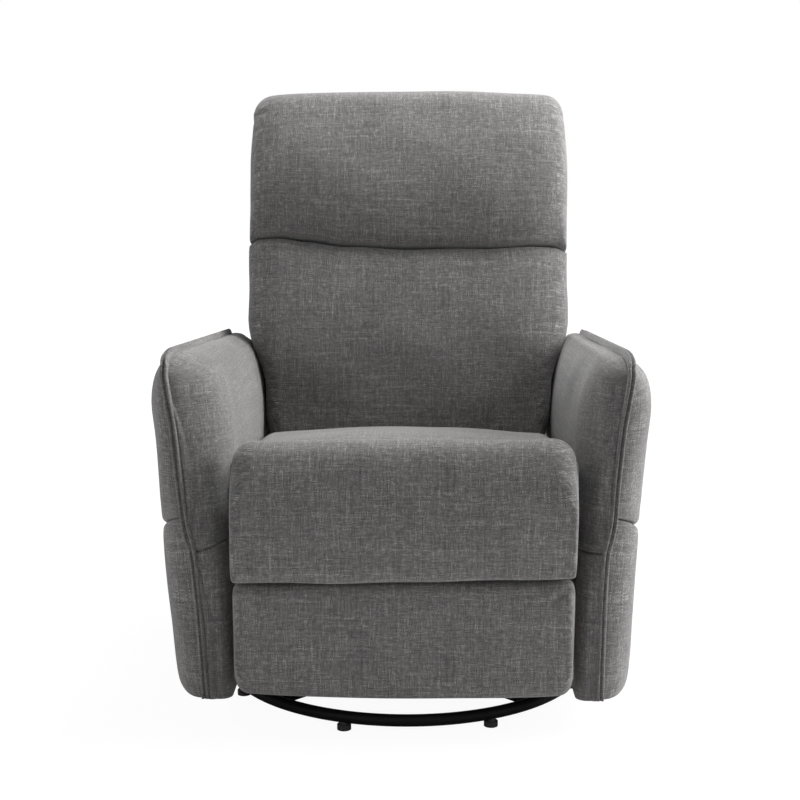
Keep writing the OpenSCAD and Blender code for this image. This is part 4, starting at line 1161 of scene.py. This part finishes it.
class RECLINER_OT_welts(bpy.types.Operator):
    """Raised flange up the front, along the top and down the rear of each arm, with its stitches"""

    bl_idname = "recliner.welts"
    bl_label = "Welts"

    def execute(self, context):
        sizes = context.scene.recliner_sizes
        section = spline_loop(metres(WELT_SECTION), 3)
        for side, (sign, *_) in SIDES.items():
            line = welt_path(side, sizes.arm_fall)
            along = unit(np.gradient(line, axis=0))
            outs = np.column_stack([sign * (0.10 + 0.2 * np.abs(along[:, 1])), -along[:, 2], along[:, 1]])
            tall = 1 + 0.8 * smooth((np.abs(along[:, 1]) - 0.6) / 0.35)
            piece = sweep("arm_flange_" + side, line, outs, section * [sign, 1], tall)
            finish_cloth(piece, "chair", "arm_welt_" + side, pad=False)
            size, shift, height = (0.0046, 0.0006), 0.0001 * sign, 0.0014
            sewn = stitches("arm_stitches_" + side, line, outs, sizes.stitch_step, size, shift, height)
            sewn.data.materials.append(FINISHES["thread"])
            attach(sewn, "chair")
        return {"FINISHED"}


# Rear panel, hard parts

REAR_PANEL = [[329, 86], [328.5, 180], [329, 288], [336, 291.5], [342, 288], [344.5, 180], [342, 86],
              [336, 82.5]]


class RECLINER_OT_rear_panel(bpy.types.Operator):
    """Padded panel between the arms, low at the rear"""

    bl_idname = "recliner.rear_panel"
    bl_label = "Rear panel"

    def execute(self, context):
        piece = cross_cushion(
            "rear_panel_cloth", REAR_PANEL, lambda y, z: 0.2715 + 0 * y, lambda y, z: 0.007,
            puff=0.0, spine=[[336, 100], [336, 275]], count=60, around=110, rows=3,
        )
        finish_cloth(piece, "chair", "rear_panel", pad=False)
        return {"FINISHED"}


class RECLINER_OT_hard_parts(bpy.types.Operator):
    """Finishes of the metal, wood, rubber and plastic parts"""

    bl_idname = "recliner.hard_parts"
    bl_label = "Hard parts"

    def execute(self, context):
        for part in frame["record"]["subparts"]:
            for slot in NODES[part["node"]].material_slots:
                slot.material = FINISHES[part["material_slot"]]
        return {"FINISHED"}


# Stage

CAMERA_PLACE, CAMERA_PITCH, CAMERA_TURN, CAMERA_LENS = (0.029, -2.362, 0.832), 8.6, 0.96, 63
FLOOR_HALF, SKY_ON_CHAIR = 14, 0.03

# Strength of the floor's glow to the camera, its share at the chair, and the distances from the swivel axis
# between which the share grows to all of it
FLOOR_GLOW, GLOW_SHARE, FADE_FROM, FADE_TO = 1.08, 0.88, 0.7, 2.2

# Lamps: place, the point that each faces, width and height, and power in watts
LAMPS = {
    "overhead": ((0.6, 0.45, 2.8), (0, 0.1, 0.4), (1.5, 1.2), 68),
    "right_side": ((2.5, 0.1, 1.5), (0, 0, 0.5), (1.2, 1.6), 78),
    "left_side": ((-2.5, 0.3, 1.5), (0, 0, 0.5), (1.2, 1.8), 23),
    "right_front": ((2.4, -1.3, 1.1), (0, 0, 0.4), (1.0, 1.4), 12),
    "left_front": ((-1.5, -2.2, 1.0), (0, 0, 0.3), (1.0, 1.2), 8.5),
}


def add_camera(scene):
    """The camera of the photograph, with its pitch and turn in degrees and its lens in millimetres."""
    camera = new_object("camera", bpy.data.cameras.new("camera"))
    camera.location = CAMERA_PLACE
    camera.rotation_euler = Euler((math.radians(90 - CAMERA_PITCH), 0, math.radians(CAMERA_TURN)))
    camera.data.sensor_width = 36
    camera.data.lens = CAMERA_LENS
    camera.data.clip_end = 60
    scene.camera = camera


def add_sky(scene):
    """A sky that is white to the camera and in reflections, and gives the chair only a little light."""
    scene.world = bpy.data.worlds.new("studio")
    scene.world.use_nodes = True
    tree = scene.world.node_tree
    tree.nodes.clear()
    out = node(tree, "OutputWorld")
    rays = node(tree, "LightPath").outputs
    seen = calc(tree, "MAXIMUM", rays["Is Camera Ray"], rays["Is Transmission Ray"])
    seen = calc(tree, "MAXIMUM", seen, rays["Is Glossy Ray"])
    level = node(tree, "MapRange", {"Value": seen, "To Min": SKY_ON_CHAIR, "To Max": 1.0})
    back = node(tree, "Background", {"Color": (1, 1, 1, 1), "Strength": level.outputs["Result"]})
    tree.links.new(back.outputs[0], out.inputs["Surface"])


def add_floor():
    """A pale floor that takes shadows, and that to the camera brightens to white away from the chair."""
    mesh = bpy.data.meshes.new("floor")
    corners = [(x * FLOOR_HALF, y * FLOOR_HALF, 0) for x, y in ((-1, -1), (1, -1), (1, 1), (-1, 1))]
    mesh.from_pydata(corners, [], [(0, 1, 2, 3)])
    floor = new_object("floor", mesh)
    mat, tree, bsdf = new_material("studio floor")
    bsdf.inputs["Base Color"].default_value = (0.8, 0.8, 0.8, 1)
    bsdf.inputs["Roughness"].default_value = 0.9
    glow = node(tree, "Emission", {"Color": (1, 1, 1, 1), "Strength": FLOOR_GLOW})
    rays = node(tree, "LightPath").outputs
    place = node(tree, "TexCoord").outputs["Object"]
    away = node(tree, "VectorMath", {0: place}, operation="LENGTH").outputs["Value"]
    reach = {"From Min": FADE_FROM, "From Max": FADE_TO, "To Min": GLOW_SHARE}
    fade = node(tree, "MapRange", {"Value": away, **reach})
    share = calc(tree, "MULTIPLY", rays["Is Camera Ray"], fade.outputs["Result"])
    mixed = node(tree, "MixShader", {0: share, 1: bsdf.outputs[0], 2: glow.outputs[0]})
    tree.links.new(mixed.outputs[0], tree.nodes["Material Output"].inputs["Surface"])
    floor.data.materials.append(mat)


def add_lamps():
    """The area lamps, each turned to face its point."""
    for name, (place, aim, size, power) in LAMPS.items():
        light = bpy.data.lights.new(name, "AREA")
        light.shape, light.size, light.size_y, light.energy = "RECTANGLE", *size, power
        lit = new_object(name, light)
        lit.location = place
        way = np.array(aim, float) - np.array(place, float)
        tip = math.atan2(way[2], math.hypot(way[0], way[1]))
        lit.rotation_euler = Euler((math.pi / 2 + tip, 0, math.atan2(-way[0], way[1])))


class RECLINER_OT_stage(bpy.types.Operator):
    """Floor, backdrop light, lamps and camera"""

    bl_idname = "recliner.stage"
    bl_label = "Stage"

    def execute(self, context):
        context.scene.view_settings.view_transform = "Standard"
        add_camera(context.scene)
        add_sky(context.scene)
        add_floor()
        add_lamps()
        return {"FINISHED"}


class RECLINER_PT_panel(bpy.types.Panel):
    """Lists the recliner's sizes, colours and pieces"""

    bl_idname = "RECLINER_PT_panel"
    bl_label = "Recliner"
    bl_space_type = "VIEW_3D"
    bl_region_type = "UI"
    bl_category = "Recliner"

    def draw(self, context):
        for data in (context.scene.recliner_sizes, context.scene.recliner_colours):
            for name in data.__annotations__:
                self.layout.prop(data, name)
        for operator in OPERATORS:
            self.layout.operator(operator.bl_idname)


OPERATORS = [
    RECLINER_OT_stage,
    RECLINER_OT_hard_parts,
    RECLINER_OT_seat,
    RECLINER_OT_back,
    RECLINER_OT_arms,
    RECLINER_OT_welts,
    RECLINER_OT_rear_panel,
]
CLASSES = [ReclinerSizes, ReclinerColours, *OPERATORS, RECLINER_PT_panel]


def register():
    for item in CLASSES:
        bpy.utils.register_class(item)
    bpy.types.Scene.recliner_sizes = PointerProperty(type=ReclinerSizes)
    bpy.types.Scene.recliner_colours = PointerProperty(type=ReclinerColours)


def unregister():
    del bpy.types.Scene.recliner_colours
    del bpy.types.Scene.recliner_sizes
    for item in reversed(CLASSES):
        bpy.utils.unregister_class(item)


def main():
    register()
    scene = bpy.context.scene
    make_finishes(scene.recliner_colours, scene.recliner_sizes)
    for operator in OPERATORS:
        getattr(bpy.ops.recliner, operator.bl_idname.removeprefix("recliner."))()


if __name__ == "__main__":
    main()
